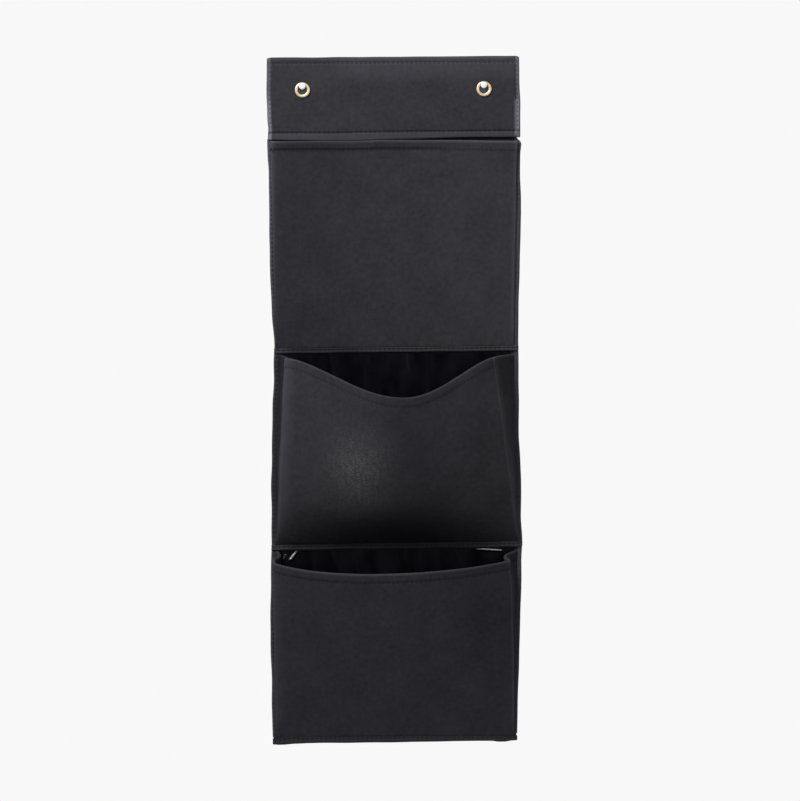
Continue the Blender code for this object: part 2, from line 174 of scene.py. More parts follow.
# The real cloth hangs a little askew: its lower edge is higher, and its seams climb to the right
FOOT_RISE = 0.0012
PANEL_FOOT += FOOT_RISE
SLOPES = (
    (-0.7818, 0.0150), (-0.5448, 0.0122), (-0.3078, 0.0095), (-0.0576, 0.0080), (0.0, 0.0042),
    (0.0388, 0.0050),
)
# How far each side edge stands outside the even one (height, millimetres)
EDGE_SHIFTS = {
    -1: (
        (-0.7734, 0.2), (-0.7314, 0.7), (-0.7074, 0.2), (-0.6594, 0.3), (-0.6114, -0.5),
        (-0.5634, -2.0), (-0.5394, -2.8), (-0.5154, -2.3), (-0.4674, -1.1), (-0.3714, -0.7),
        (-0.3474, -1.7), (-0.3234, -1.8), (-0.3054, -2.4), (-0.2754, -0.5), (-0.2034, 1.2),
        (-0.1914, 0.8), (-0.1674, 0.2), (-0.1434, -0.6), (-0.1254, -1.2), (-0.0920, -0.6),
        (-0.0820, 0.1), (-0.0630, 0.3),
    ),
    1: (
        (-0.7734, 0.6), (-0.7074, 1.1), (-0.6594, 2.0), (-0.6114, 2.5), (-0.5634, 2.4),
        (-0.5394, 3.8), (-0.5154, 2.6), (-0.4674, 3.4), (-0.4194, 2.6), (-0.3720, 4.0),
        (-0.3474, 3.6), (-0.1674, 3.6), (-0.1494, 3.9), (-0.1314, 3.4), (-0.1074, 1.9),
        (-0.0770, 1.6), (-0.0700, 2.4), (-0.0655, 2.8), (-0.0630, 1.8), (-0.0612, -0.3),
        (-0.0594, -2.2), (-0.0579, -3.0),
    ),
}
HEADER_SHIFTS = {
    -1: (
        (-0.0576, -0.8), (-0.0520, -0.8), (-0.0450, -1.4), (-0.0350, -0.2), (-0.0100, 0.9),
        (0.0120, 0.5), (0.0388, 0.5),
    ),
    1: (
        (-0.0576, 1.2), (-0.0450, 1.1), (-0.0350, 1.05), (-0.0114, 0.85), (0.0120, 0.3),
        (0.0388, -0.05),
    ),
}

# The joints that cloth crosses: the swing's two heights and each pocket's mouth depth
SWING_BEND = (PANEL_TOP + 0.0002, PANEL_TOP - 0.0090)
MOUTH_BEND = {"top": 0.0150, "middle": 0.0560, "bottom": 0.0380}


def place_pockets():
    """Read each pocket's seam and ceiling from the frame."""
    ceiling = HEADER_FOOT
    for name, pocket in POCKETS.items():
        strip_low, strip_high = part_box(STRIPS[name])
        pocket["name"] = name
        pocket["ceiling"] = ceiling
        pocket["seam"] = strip_high.z + STRIP_RISE[name] + (FOOT_RISE if name == "bottom" else 0.0)
        ceiling = strip_low.z + STRIP_RISE[name]


place_pockets()
STATIONS = (
    HEADER_FOOT,
    POCKETS["middle"]["seam"] + POCKETS["middle"]["height"],
    POCKETS["middle"]["seam"],
    PANEL_FOOT,
)


def smooth(share):
    share = np.clip(share, 0.0, 1.0)
    return share * share * (3 - 2 * share)


def rise(value, start, width):
    """0 up to the start, then easing to 1 over the width."""
    return smooth((value - start) / width)


def fall(value, start, width):
    """1 up to the start, then easing to 0 over the width."""
    return 1 - rise(value, start, width)


def bell(value, middle, width):
    """1 at the middle, falling to 0 on both sides."""
    return np.exp(-(((value - middle) / width) ** 2))


def eased(share):
    return 0.5 - 0.5 * np.cos(math.pi * np.clip(share, 0.0, 1.0))


def read_table(table, place):
    """The value at a place, from rows of (place, value)."""
    places, values = zip(*table)
    return np.interp(place, places, values)


def points_at(x, y, z):
    """A grid of points from coordinates that spread over each other's rows and columns."""
    return np.stack(np.broadcast_arrays(x, y, z), axis=-1)


def ripple(x, z, length, seed, count=8):
    """A smooth, repeatable unevenness, mostly from -1 to 1, with features of about a length."""
    rng = np.random.default_rng(seed)
    total = np.zeros(np.broadcast(x, z).shape)
    for _ in range(count):
        angle = rng.uniform(0, math.tau)
        size = length * rng.uniform(0.7, 1.8)
        phase = rng.uniform(0, math.tau)
        along = x * math.cos(angle) + z * math.sin(angle)
        total += np.sin(math.tau * along / size + phase)
    return total / math.sqrt(2 * count)


def half_width(z):
    """Half the panel's width over the binding: it eases between the pulls."""
    width = SIDE - PULLS[0]
    for k in range(3):
        share = eased((STATIONS[k] - z) / (STATIONS[k] - STATIONS[k + 1]))
        width = width - (PULLS[k + 1] - PULLS[k]) * share
    return width


def shift_at(table, z):
    """A side edge's shift in metres, its corners eased."""
    return sum(read_table(table, z + step) for step in (-0.0015, 0.0, 0.0015)) / 3000


def panel_edge(z, sign):
    return half_width(z) + shift_at(EDGE_SHIFTS[sign], z)


def across(u, z, inset):
    """The place across the panel: u -1 at its left edge less the inset, 1 at its right."""
    left = panel_edge(z, -1) - inset
    right = panel_edge(z, 1) - inset
    return (right - left) / 2 + u * (right + left) / 2


def tilt(x, z):
    """How far a point lies above the level line because the seams climb to the right."""
    return x * read_table(SLOPES, z)


# How far the foot hem's lower edge hangs below a straight one (place across, millimetres)
FOOT_DROPS = (
    (-0.150, 0.3), (-0.145, 0.8), (-0.139, 1.5), (-0.131, 1.3), (-0.122, 0.5), (-0.105, 0.0),
    (-0.050, 0.2), (0.0, 0.6), (0.050, 0.6), (0.100, 0.8), (0.117, 1.1), (0.123, 2.1),
    (0.133, 2.1), (0.139, 1.0), (0.150, 0.4),
)


def foot_drop(x):
    return read_table(FOOT_DROPS, x) / 1000


def hem_drop(x):
    """How far the seam above the foot hem lies below a line that climbs like the foot."""
    drop = 0.0006 * rise(x, -0.06, 0.06) + 0.0019 * rise(x, 0.02, 0.09)
    return drop + 0.0008 * rise(-x, 0.125, 0.02)


def from_lowest(pocket, u):
    low = pocket["low_at"]
    return np.where(u >= low, (u - low) / (1 - low), (u - low) / (1 + low))


def mouth_height(pocket, u):
    share = np.minimum(np.abs(from_lowest(pocket, u)), 1.0)
    shape = np.where(u >= pocket["low_at"], pocket["sag_shape"][1], pocket["sag_shape"][0])
    dip = np.maximum(np.cos(math.pi / 2 * share), 0.0) ** shape
    return pocket["height"] - pocket["sag"] * dip + read_table(pocket["rim"], u) / 1000


def mouth_depth(pocket, u):
    share = from_lowest(pocket, u)
    return pocket["side_depth"] + (pocket["depth"] - pocket["side_depth"]) * (1 - share**2)


def fold_reach(pocket, v, sign):
    at_foot, at_mouth, curve = pocket["fold"][sign]
    foot = half_width(pocket["seam"]) - at_foot
    mouth = half_width(pocket["seam"] + pocket["height"]) - at_mouth
    return foot + (mouth - foot) * v**curve


def face_points(pocket, u, v):
    """Points of a pocket's outer face: u from fold to fold, v from the seam to the mouth."""
    u = np.asarray(u, float)
    left = fold_reach(pocket, v, -1)
    right = fold_reach(pocket, v, 1)
    x = (right - left) / 2 + u * (right + left) / 2
    z = pocket["seam"] + FOLD_CLEARANCE + v * (mouth_height(pocket, u) - FOLD_CLEARANCE)
    swell = 1 - (1 - v) ** pocket["belly"]
    depth = SEAM_DEPTH + (mouth_depth(pocket, u) - SEAM_DEPTH) * swell
    return points_at(x, -PANEL_FRONT - depth, z)


def gusset_points(pocket, sign, v, share):
    """Points of a gusset's outer face: share 0 at the panel, 1 at the fold."""
    tall = pocket["ceiling"] - CLOTH - pocket["knee"] - pocket["seam"]
    z = pocket["seam"] + FOLD_CLEARANCE + v * (tall - FOLD_CLEARANCE)
    knee = np.array([sign * (panel_edge(z, sign) - BINDING_LEG - GAP), -BINDING_FRONT - GAP, z])
    front = face_points(pocket, sign, v)
    share = np.asarray(share, float)[:, None]
    points = knee + (front - knee) * share
    bow = pocket["bow"] * v + pocket["tuck"][sign] * rise(v, 0.86, 0.14)
    points[:, 0] -= sign * bow * np.sin(math.pi * share[:, 0])
    return points


GUSSET_STEPS = 14
FOLD_STEPS = 7
FACE_STEPS = 150


def pocket_row(pocket, v):
    """One level of a pocket's cloth: panel, left gusset, fold, face, fold, right gusset, panel."""
    sides = []
    for sign in (-1, 1):
        ends = gusset_points(pocket, sign, v, [0.0, 1.0])
        length = np.linalg.norm(ends[1] - ends[0])
        corner = min(pocket["round"][sign], 0.45 * length)
        gusset = gusset_points(pocket, sign, v, np.linspace(0, 1 - corner / length, GUSSET_STEPS))
        root = gusset[0] + np.array([0.0, BINDING_FRONT - PANEL_FRONT, 0.0])
        reach = (fold_reach(pocket, v, -1) + fold_reach(pocket, v, 1)) / 2
        u = sign * (1 - corner / reach)
        t = np.linspace(0, 1, FOLD_STEPS + 2)[1:-1, None]
        tangent = face_points(pocket, u, v)
        fold = (1 - t) ** 2 * gusset[-1] + 2 * t * (1 - t) * ends[1] + t**2 * tangent
        sides.append((np.vstack([root, gusset, fold]), u))
    (left, u_left), (right, u_right) = sides
    face = face_points(pocket, np.linspace(u_left, u_right, FACE_STEPS), v)
    row = np.vstack([left, face, right[::-1]])
    climb = tilt(row[:, 0], pocket["seam"])
    if pocket["name"] == "bottom":
        climb = climb - hem_drop(row[:, 0])
    row[:, 2] += climb * (1 - v)
    return row


SEAM_SHARE = 0.08
HEM_ZONE = 0.0180
RIM_ROUND = 0.0014


def pocket_levels(pocket):
    """Shares up the pocket: close together at the seam and at the hem."""
    below_hem = 1 - HEM_ZONE / pocket["height"]
    foot = np.linspace(0.0, SEAM_SHARE, 10)[:-1]
    middle = np.linspace(SEAM_SHARE, below_hem, 62)[:-1]
    hem = np.linspace(below_hem, 1 - RIM_ROUND / pocket["height"], 22)
    return np.concatenate([foot, middle, hem])


def normals_of(points):
    """Outward normals of a grid whose columns run right and whose rows run up."""
    normal = np.cross(np.gradient(points, axis=1), np.gradient(points, axis=0))
    return normal / np.linalg.norm(normal, axis=-1, keepdims=True)


def flat_places(points):
    """Each grid point's place on the flat cloth: arc length across and up, from the middle."""
    right = np.linalg.norm(np.diff(points, axis=1), axis=-1)
    up = np.linalg.norm(np.diff(points, axis=0), axis=-1)
    u = np.pad(np.cumsum(right, axis=1), ((0, 0), (1, 0)))
    v = np.pad(np.cumsum(up, axis=0), ((1, 0), (0, 0)))
    u = u - u[:, [u.shape[1] // 2]]
    return np.stack([u, v], axis=-1)


def border_of(rows, columns):
    """The grid's border, once round, starting along the lowest row."""
    low = [(0, j) for j in range(columns - 1)]
    right = [(i, columns - 1) for i in range(rows - 1)]
    high = [(rows - 1, j) for j in range(columns - 1, 0, -1)]
    left = [(i, 0) for i in range(rows - 1, 0, -1)]
    return np.array(low + right + high + left)


def linked(made):
    bpy.context.scene.collection.objects.link(made)
    return made


def mesh_object(name, points, faces, look, places=None, values=None, smooth_angle=60):
    """An object from its points, its faces, their places on the flat cloth and their values."""
    mesh = bpy.data.meshes.new(name)
    mesh.from_pydata([tuple(p) for p in points], [], faces)
    if places is not None:
        layer = mesh.uv_layers.new(name="cloth")
        corners = np.zeros(len(mesh.loops), int)
        mesh.loops.foreach_get("vertex_index", corners)
        layer.data.foreach_set("uv", np.asarray(places, np.float32)[corners].ravel())
    for key, value in (values or {}).items():
        attribute = mesh.attributes.new(key, "FLOAT", "POINT")
        attribute.data.foreach_set("value", np.asarray(value, np.float32).ravel())
    mesh.validate()
    mesh.shade_smooth()
    mesh.set_sharp_from_angle(angle=math.radians(smooth_angle))
    mesh.materials.append(look)
    return linked(bpy.data.objects.new(name, mesh))


EDGE_STEPS = 5
EDGE_BULGE = 0.0018


def closed_sheet(
    name, outer, inner, look, places=None, values=None, rounding=0.9, bulge=EDGE_BULGE
):
    """A closed mesh between two grids, its edges rounded outward.

    Each value may be one number, or a row or a column that is spread over the whole grid.
    """
    rows, columns = outer.shape[:2]
    if places is None:
        places = flat_places(outer)
    border = border_of(rows, columns)
    i, j = border[:, 0], border[:, 1]
    inside = (np.clip(i, 1, rows - 2), np.clip(j, 1, columns - 2))
    rim_outer, rim_inner = outer[i, j], inner[i, j]
    through = rim_inner - rim_outer
    thick = np.linalg.norm(through, axis=1, keepdims=True)
    away = (rim_outer + rim_inner) / 2 - (outer[inside] + inner[inside]) / 2
    unit = through / thick
    away = away - unit * (away * unit).sum(1, keepdims=True)
    away = away / np.maximum(np.linalg.norm(away, axis=1, keepdims=True), 1e-9)
    rings = []
    for k in range(1, EDGE_STEPS):
        turn = math.pi * k / EDGE_STEPS
        share = (1 - math.cos(turn)) / 2
        out = np.minimum(thick / 2 * rounding, bulge) * math.sin(turn)
        rings.append(rim_outer + through * share + away * out)
    count = rows * columns
    ids = np.arange(count).reshape(rows, columns)
    faces = []
    for base, back in ((0, False), (count, True)):
        a, b = ids[:-1, :-1] + base, ids[:-1, 1:] + base
        c, d = ids[1:, 1:] + base, ids[1:, :-1] + base
        quad = (a, d, c, b) if back else (a, b, c, d)
        faces += np.stack([q.ravel() for q in quad], axis=1).tolist()
    loops = [ids[i, j]]
    loops += [2 * count + k * len(border) + np.arange(len(border)) for k in range(len(rings))]
    loops.append(ids[i, j] + count)
    for near, far in zip(loops, loops[1:]):
        quad = (np.roll(near, -1), near, far, np.roll(far, -1))
        faces += np.stack(quad, axis=1).tolist()
    points = np.vstack([outer.reshape(-1, 3), inner.reshape(-1, 3)] + rings)
    flat = places.reshape(-1, 2)
    all_places = np.vstack([flat, flat] + [places[i, j]] * len(rings))
    all_values = {}
    for key, value in (values or {}).items():
        plain = np.broadcast_to(value, (rows, columns))
        parts = [plain.ravel(), plain.ravel()] + [plain[i, j]] * len(rings)
        all_values[key] = np.concatenate(parts)
    return mesh_object(name, points, faces, look, all_places, all_values)


def face_outward(made):
    """Turn every shell of a closed mesh so that its faces point out."""
    work = bmesh.new()
    work.from_mesh(made.data)
    bmesh.ops.recalc_face_normals(work, faces=work.faces[:])
    work.to_mesh(made.data)
    work.free()
    return made


def turned(name, outline, centre, look, sides=96, closed=True, smooth_angle=35):
    """Turn an outline of (radius, y) about the Y axis through a centre (x, z)."""
    points, rings = [], []
    for radius, y in outline:
        count = sides if radius > 0 else 1
        angles = [math.tau * k / sides for k in range(count)]
        rings.append(list(range(len(points), len(points) + count)))
        points += [
            (centre[0] + radius * math.cos(a), y, centre[1] + radius * math.sin(a)) for a in angles
        ]
    pairs = list(zip(rings, rings[1:]))
    if closed:
        pairs.append((rings[-1], rings[0]))
    faces = []
    for low, high in pairs:
        for k in range(sides):
            m = (k + 1) % sides
            corners = [low[n % len(low)] for n in (k, m)] + [high[n % len(high)] for n in (m, k)]
            faces.append(tuple(dict.fromkeys(corners)))
    return face_outward(mesh_object(name, points, faces, look, smooth_angle=smooth_angle))


def stitches(name, path, along, look, normal=None):
    """Thread along a path: short capsules that dip into the cloth at both ends.

    Each one's middle lies where the measure along the path is a whole number of pitches. The
    cloth faces the front unless its normals are given.
    """
    if normal is None:
        normal = np.broadcast_to(np.array([0.0, -1.0, 0.0]), path.shape)
    if along[-1] < along[0]:
        path, normal, along = path[::-1], normal[::-1], along[::-1]
    length = STITCH_LENGTH
    first = math.ceil((along[0] + length) / STITCH_PITCH)
    last = math.floor((along[-1] - length) / STITCH_PITCH)
    starts = np.arange(first, last + 1) * STITCH_PITCH - length / 2
    sides, rings = 6, 6
    points, faces = [], []
    for start in starts:
        ring_ids = []
        at = start + np.linspace(0, length, rings)
        centre = np.stack([np.interp(at, along, path[:, k]) for k in range(3)], axis=1)
        up = np.stack([np.interp(at, along, normal[:, k]) for k in range(3)], axis=1)
        up = up / np.linalg.norm(up, axis=1, keepdims=True)
        ahead = np.gradient(centre, axis=0)
        side = np.cross(ahead, up)
        side = side / np.linalg.norm(side, axis=1, keepdims=True)
        share = np.linspace(0, 1, rings)
        lift = THREAD * (0.70 * np.sin(math.pi * share) - 0.45)
        size = THREAD / 2 * (0.55 + 0.45 * np.sin(math.pi * share) ** 0.5)
        centre = centre + up * lift[:, None]
        for k in range(rings):
            ring_ids.append(list(range(len(points), len(points) + sides)))
            for m in range(sides):
                turn = math.tau * m / sides
                offset = up[k] * math.cos(turn) + side[k] * math.sin(turn)
                points.append(centre[k] + offset * size[k])
        for low, high in zip(ring_ids, ring_ids[1:]):
            for m in range(sides):
                n = (m + 1) % sides
                faces.append((low[m], low[n], high[n], high[m]))
        faces.append(tuple(ring_ids[0][::-1]))
        faces.append(tuple(ring_ids[-1]))
    return face_outward(mesh_object(name, points, faces, look))


def scaled(colour, *shares):
    """A colour times one share for all, or one for each channel."""
    shares = shares * 3 if len(shares) == 1 else shares
    return tuple(share * c for share, c in zip(shares, colour))


class Look:
    """A material, or the world, in the making: its nodes and the shader that they feed."""

    def __init__(self, name, family=bpy.data.materials, shader="Principled BSDF"):
        self.made = family.new(name)
        self.made.use_nodes = True
        self.tree = self.made.node_tree
        self.shader = self.tree.nodes[shader]

    def feed(self, made, key, value):
        """Link a socket to an input, or set any other value on it."""
        socket = made.inputs[key]
        if isinstance(value, bpy.types.NodeSocket):
            self.tree.links.new(value, socket)
        elif socket.type == "RGBA":
            socket.default_value = (*value, 1.0)
        else:
            socket.default_value = value

    def set(self, key, value):
        self.feed(self.shader, key, value)

    def node(self, kind, inputs=None, **settings):
        made = self.tree.nodes.new(kind)
        for key, value in settings.items():
            setattr(made, key, value)
        for key, value in (inputs or {}).items():
            self.feed(made, key, value)
        return made

    def op(self, operation, a, b=0.0, c=0.0):
        return self.node("ShaderNodeMath", {0: a, 1: b, 2: c}, operation=operation).outputs[0]

    def times(self, a, b, plus=None):
        """a times b, and plus a third where it is given."""
        if plus is None:
            return self.op("MULTIPLY", a, b)
        return self.op("MULTIPLY_ADD", a, b, plus)

    def varied(self, tone, pattern, amount):
        """A tone that a pattern moves up and down, its middle being one half."""
        return self.times(self.op("SUBTRACT", pattern, 0.5), amount, tone)

    def clamped(self, value):
        return self.node("ShaderNodeClamp", {"Value": value}).outputs[0]

    def noise(self, vector, scale, detail=3.0, roughness=0.55, distortion=0.0):
        names = ("Vector", "Scale", "Detail", "Roughness", "Distortion")
        inputs = dict(zip(names, (vector, scale, detail, roughness, distortion)))
        return self.node("ShaderNodeTexNoise", inputs).outputs["Fac"]

    def spread(self, value, low, high, to_low=0.0, to_high=1.0):
        names = ("Value", "From Min", "From Max", "To Min", "To Max")
        inputs = dict(zip(names, (value, low, high, to_low, to_high)))
        return self.node("ShaderNodeMapRange", inputs).outputs["Result"]

    def stretched(self, vector, scale):
        inputs = {"Vector": vector, "Scale": scale}
        return self.node("ShaderNodeMapping", inputs).outputs["Vector"]

    def mixed(self, share, a, b):
        """Mix two colours; each is a socket or a tuple of three numbers."""
        inputs = {0: share, 6: a, 7: b}
        return self.node("ShaderNodeMix", inputs, data_type="RGBA").outputs[2]

    def value(self, name):
        return self.node("ShaderNodeAttribute", attribute_name=name).outputs["Fac"]

    def in_space(self):
        return self.node("ShaderNodeTexCoord").outputs["Object"]

    def on_cloth(self):
        return self.node("ShaderNodeUVMap", uv_map="cloth").outputs["UV"]

    def woven(self, place, pitches, wander):
        """Warp and weft: 1 where threads stand up, 0 between them."""
        split = self.node("ShaderNodeSeparateXYZ", {"Vector": place})
        threads = []
        for axis, pitch in zip("XY", pitches):
            turns = self.times(split.outputs[axis], math.tau / pitch, wander)
            threads.append(self.op("SINE", turns))
        return self.times(self.times(*threads), 0.5, 0.5)

    def seam_marks(self):
        """How far thread presses the cloth in: a line on each seam, deepest under its stitches."""
        near = self.value("seam")
        turn = self.times(self.value("along"), math.tau / STITCH_PITCH)
        pulse = self.times(self.op("COSINE", turn), 0.5, 0.5)
        line = self.op("POWER", self.spread(near, 0.5, 1.0), 2.0)
        pressed = self.times(line, self.times(pulse, 0.6, 0.4))
        pucker = self.times(self.times(near, pulse), 0.34)
        return self.clamped(self.op("ADD", pressed, pucker))

    def bump(self, height, strength, distance):
        inputs = {"Height": height, "Strength": strength, "Distance": distance}
        self.set("Normal", self.node("ShaderNodeBump", inputs).outputs["Normal"])


WEAVE = 0.00105
FIBRES = ((900.0, 4200.0, 1.0), (4200.0, 900.0, 1.0))
TAPE_RIBS = (0.0009, 0.0011)
# What is left of each colour where cloth is painted darker: partly damp cloth, partly painted
# shade deep in folds and where little light falls
DAMP_AND_SHADE_SHARE = (0.25, 0.235, 0.34)
SHEEN = (0.80, 0.773, 0.908)
SOIL = (0.120, 0.118, 0.124)
# The white painted onto the film's hard folds as glints
GLINT_WHITE = (0.80, 0.80, 0.82)


def cloth_material(name, colour, lift=1.0):
    """Charcoal felted cloth: a fine weave under short fibres, mottled, paler where rubbed.

    Its colour also carries painted highlights, and it is darker where damp and where shade is
    painted.
    """
    look = Look(name)
    place = look.on_cloth()
    wander = look.times(look.noise(place, 420.0, 2.0), 0.9, -0.45)
    crossing = look.woven(place, (WEAVE, WEAVE), wander)
    lying = [look.noise(look.stretched(place, run), 1.0, 3.0, 0.6, 0.6) for run in FIBRES]
    fibres = look.op("MAXIMUM", *lying)
    mottle = look.noise(place, 170.0, 5.0, 0.65)
    broad = look.noise(place, 24.0, 4.0, 0.6)
    lint = look.spread(look.noise(place, 1500.0, 2.0, 0.5), 0.70, 0.80)

    tone = look.times(fibres, 0.9, -0.12)
    for pattern, amount in ((mottle, 1.25), (broad, 0.95), (crossing, 0.28)):
        tone = look.varied(tone, pattern, amount)
    base = look.mixed(look.clamped(tone), scaled(colour, 0.70), scaled(colour, 1.42))
    base = look.mixed(look.times(lint, 0.22), base, scaled(colour, 2.6))
    # Paler where rubbed, and where a highlight is painted
    worn_and_highlit = look.times(look.value("wear_and_highlight"), look.spread(fibres, 0.40, 0.75, 0.45, 1.0))
    base = look.mixed(worn_and_highlit, base, scaled(colour, 3.4 * lift))
    marks = look.seam_marks()
    base = look.mixed(look.times(marks, 0.70), base, scaled(colour, 0.20))
    # Darker where damp, and where shade is painted
    damp_and_shade = look.value("damp_and_shade")
    base = look.mixed(damp_and_shade, base, scaled(colour, *DAMP_AND_SHADE_SHARE))
    grain = look.spread(look.noise(place, 520.0, 3.0, 0.7), 0.40, 0.62, 0.15, 1.0)
    streak = look.noise(look.stretched(place, (260.0, 90.0, 1.0)), 1.0, 2.0)
    streak = look.spread(streak, 0.35, 0.65, 0.4, 1.0)
    dusty = look.times(look.times(look.value("dust"), grain), streak)
    look.set("Base Color", look.mixed(dusty, base, SOIL))

    look.set("Roughness", look.spread(fibres, 0.3, 0.8, 0.86, 0.98))
    look.set("Specular IOR Level", 0.05)
    look.set("Sheen Weight", look.spread(damp_and_shade, 0.0, 0.5, 0.10, 0.0))
    look.set("Sheen Roughness", 0.55)
    look.set("Sheen Tint", SHEEN)
    height = look.times(fibres, 0.8)
    for pattern, amount in ((crossing, 0.55), (mottle, 0.7), (marks, -1.6)):
        height = look.times(pattern, amount, height)
    look.bump(height, 0.8, 0.00035)
    return look.made


def tape_material(name, colour):
    """Woven binding tape: fine ribs across the tape, with a dull thread sheen."""
    look = Look(name)
    place = look.on_cloth()
    wander = look.times(look.noise(place, 700.0, 2.0), 1.6)
    weave = look.woven(place, TAPE_RIBS, wander)
    mottle = look.noise(place, 320.0, 4.0, 0.6)
    broad = look.noise(place, 30.0, 2.0)
    tone = look.times(weave, 0.35, look.times(mottle, 0.75))
    tone = look.varied(tone, broad, 0.5)
    base = look.mixed(tone, scaled(colour, 0.55), scaled(colour, 1.45))
    # Paler where rubbed, and where painted light lifts the shade beside the pockets
    worn_and_highlit = look.times(look.value("wear_and_highlight"), look.spread(mottle, 0.38, 0.66, 0.45, 1.0))
    base = look.mixed(worn_and_highlit, base, scaled(colour, 3.0))
    marks = look.seam_marks()
    base = look.mixed(look.times(marks, 0.65), base, scaled(colour, 0.25))
    # Darker where damp, and where shade is painted
    base = look.mixed(look.value("damp_and_shade"), base, scaled(colour, *DAMP_AND_SHADE_SHARE))
    look.set("Base Color", base)
    look.set("Roughness", look.spread(mottle, 0.3, 0.7, 0.72, 0.92))
    look.set("Specular IOR Level", 0.08)
    look.set("Sheen Weight", 0.08)
    look.set("Sheen Roughness", 0.5)
    look.bump(look.times(marks, -1.0, tone), 0.7, 0.0003)
    return look.made


def film_material(name, colour):
    """Thin black waterproof film: creased, dusty in patches, with painted white glints where folded
    hard.
    """
    look = Look(name)
    place = look.in_space()
    creases = look.noise(look.stretched(place, (46.0, 46.0, 14.0)), 1.0, 4.0, 0.55)
    fine = look.noise(place, 420.0, 3.0, 0.6)
    dust = look.spread(look.noise(place, 34.0, 4.0, 0.6), 0.45, 0.75)
    base = look.mixed(dust, colour, scaled(colour, 2.2))
    # Painted glints: hard folds are painted white where they catch light, with more gloss
    white = look.value("wear_and_highlight")
    glinting = look.times(white, look.spread(fine, 0.35, 0.60, 0.3, 1.0))
    look.set("Base Color", look.mixed(glinting, base, GLINT_WHITE))
    look.set("Roughness", look.times(dust, 0.22, look.spread(fine, 0.3, 0.7, 0.26, 0.40)))
    gloss = look.times(white, 0.9, look.spread(creases, 0.35, 0.65, 0.02, 0.06))
    look.set("Specular IOR Level", gloss)
    look.bump(look.times(fine, 0.15, creases), 0.35, 0.0012)
    return look.made


def thread_material(name, colour):
    """Polyester thread, twisted, slightly shinier than the cloth."""
    look = Look(name)
    twist = look.noise(look.in_space(), 2600.0, 2.0)
    look.set("Base Color", look.mixed(twist, scaled(colour, 0.6), scaled(colour, 1.5)))
    look.set("Roughness", look.spread(twist, 0.3, 0.7, 0.45, 0.70))
    look.set("Specular IOR Level", 0.20)
    look.bump(twist, 0.4, 0.0002)
    return look.made


def metal_material(name, colour, dull, roughness):
    """Plated sheet metal: fine scratches, with dull tarnish in broad patches."""
    look = Look(name)
    place = look.in_space()
    scratches = look.noise(look.stretched(place, (900.0, 300.0, 5200.0)), 1.0, 3.0, 0.6)
    tarnish = look.spread(look.noise(place, 300.0, 4.0, 0.6), 0.42, 0.70)
    look.set("Base Color", look.mixed(look.times(tarnish, 0.6), colour, dull))
    rough = look.times(scratches, 0.16, roughness - 0.06)
    look.set("Roughness", look.times(tarnish, 0.12, rough))
    look.set("Metallic", 1.0)
    look.bump(scratches, 0.15, 0.0001)
    return look.made


def plain_material(name, colour, roughness, scale, specular=0.5):
    """Paint or moulded plastic: a faint unevenness in colour, gloss and surface."""
    look = Look(name)
    grain = look.noise(look.in_space(), scale, 4.0, 0.6)
    look.set("Base Color", look.mixed(grain, scaled(colour, 0.90), scaled(colour, 1.06)))
    look.set("Roughness", look.spread(grain, 0.3, 0.7, roughness - 0.05, roughness + 0.08))
    look.set("Specular IOR Level", specular)
    look.bump(grain, 0.2, 0.0001)
    return look.made


CHARCOAL = (0.0330, 0.0318, 0.0375)
header_cloth = cloth_material("header_cloth", (0.0333, 0.0320, 0.0378), 2.6)
panel_cloth = cloth_material("panel_cloth", CHARCOAL)
pocket_cloth = cloth_material("pocket_cloth", CHARCOAL)
binding_tape = tape_material("binding_tape", CHARCOAL)
lining_film = film_material("lining_film", (0.0013, 0.0011, 0.0026))
thread = thread_material("sewing_thread", (0.0090, 0.0088, 0.0105))
pale_thread = thread_material("rubbed_thread", (0.0420, 0.0400, 0.0480))
brass = metal_material("eyelet_brass", (0.54, 0.43, 0.29), (0.30, 0.19, 0.09), 0.38)
shank_steel = metal_material("shank_steel", (0.55, 0.55, 0.54), (0.25, 0.24, 0.22), 0.34)
nail_paint = plain_material("nail_paint", (0.90, 0.90, 0.89), 0.34, 900.0)
# Painted shade: the plug's blue-grey stands for the wall in shade seen through the eyelets under
# the nail heads
plug_wall_shade = plain_material("plug_wall_shade", (0.18, 0.26, 0.42), 0.48, 700.0, 0.3)
board_plastic = plain_material("stiff_board", (0.030, 0.030, 0.032), 0.55, 500.0, 0.3)


def groove(distance, at):
    """The dent that a row of stitches pulls into the cloth."""
    return GROOVE * bell(distance, at, GROOVE_WIDTH)


def closeness(distance, at):
    """1 on a seam, falling to 0 beside it."""
    return bell(distance, at, SEAM_REACH)


def attach(made, by, *stands_for, slot=None):
    """Parent a piece to the header's or the panel's body, or else bake its place into its mesh.

    Hide the frame's nodes that it stands for. Its slot is not used.
    """
    if by in ("header", "panel"):
        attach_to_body(made, by)
    elif by == "swing":
        start, end = ((0, 0, z) for z in SWING_BEND)
        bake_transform(made)
        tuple(start)
        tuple(end)
    else:
        start = (0, -SEAM_FRONT + CLOTH, 0)
        end = (0, -PANEL_FRONT - MOUTH_BEND[by], 0)
        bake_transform(made)
        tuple(start)
        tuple(end)
    if stands_for:
        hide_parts(*stands_for)


def eyelet_centres():
    centres = {}
    for side in ("left", "right"):
        low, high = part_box("eyelet_" + side)
        x, z = (low.x + high.x) / 2, (low.z + high.z) / 2
        centres[side] = (x, z + float(tilt(x, z)))
    return centres


EYELETS = eyelet_centres()
HEADER_FOOT_STITCH = HEADER_HEM + 0.0006


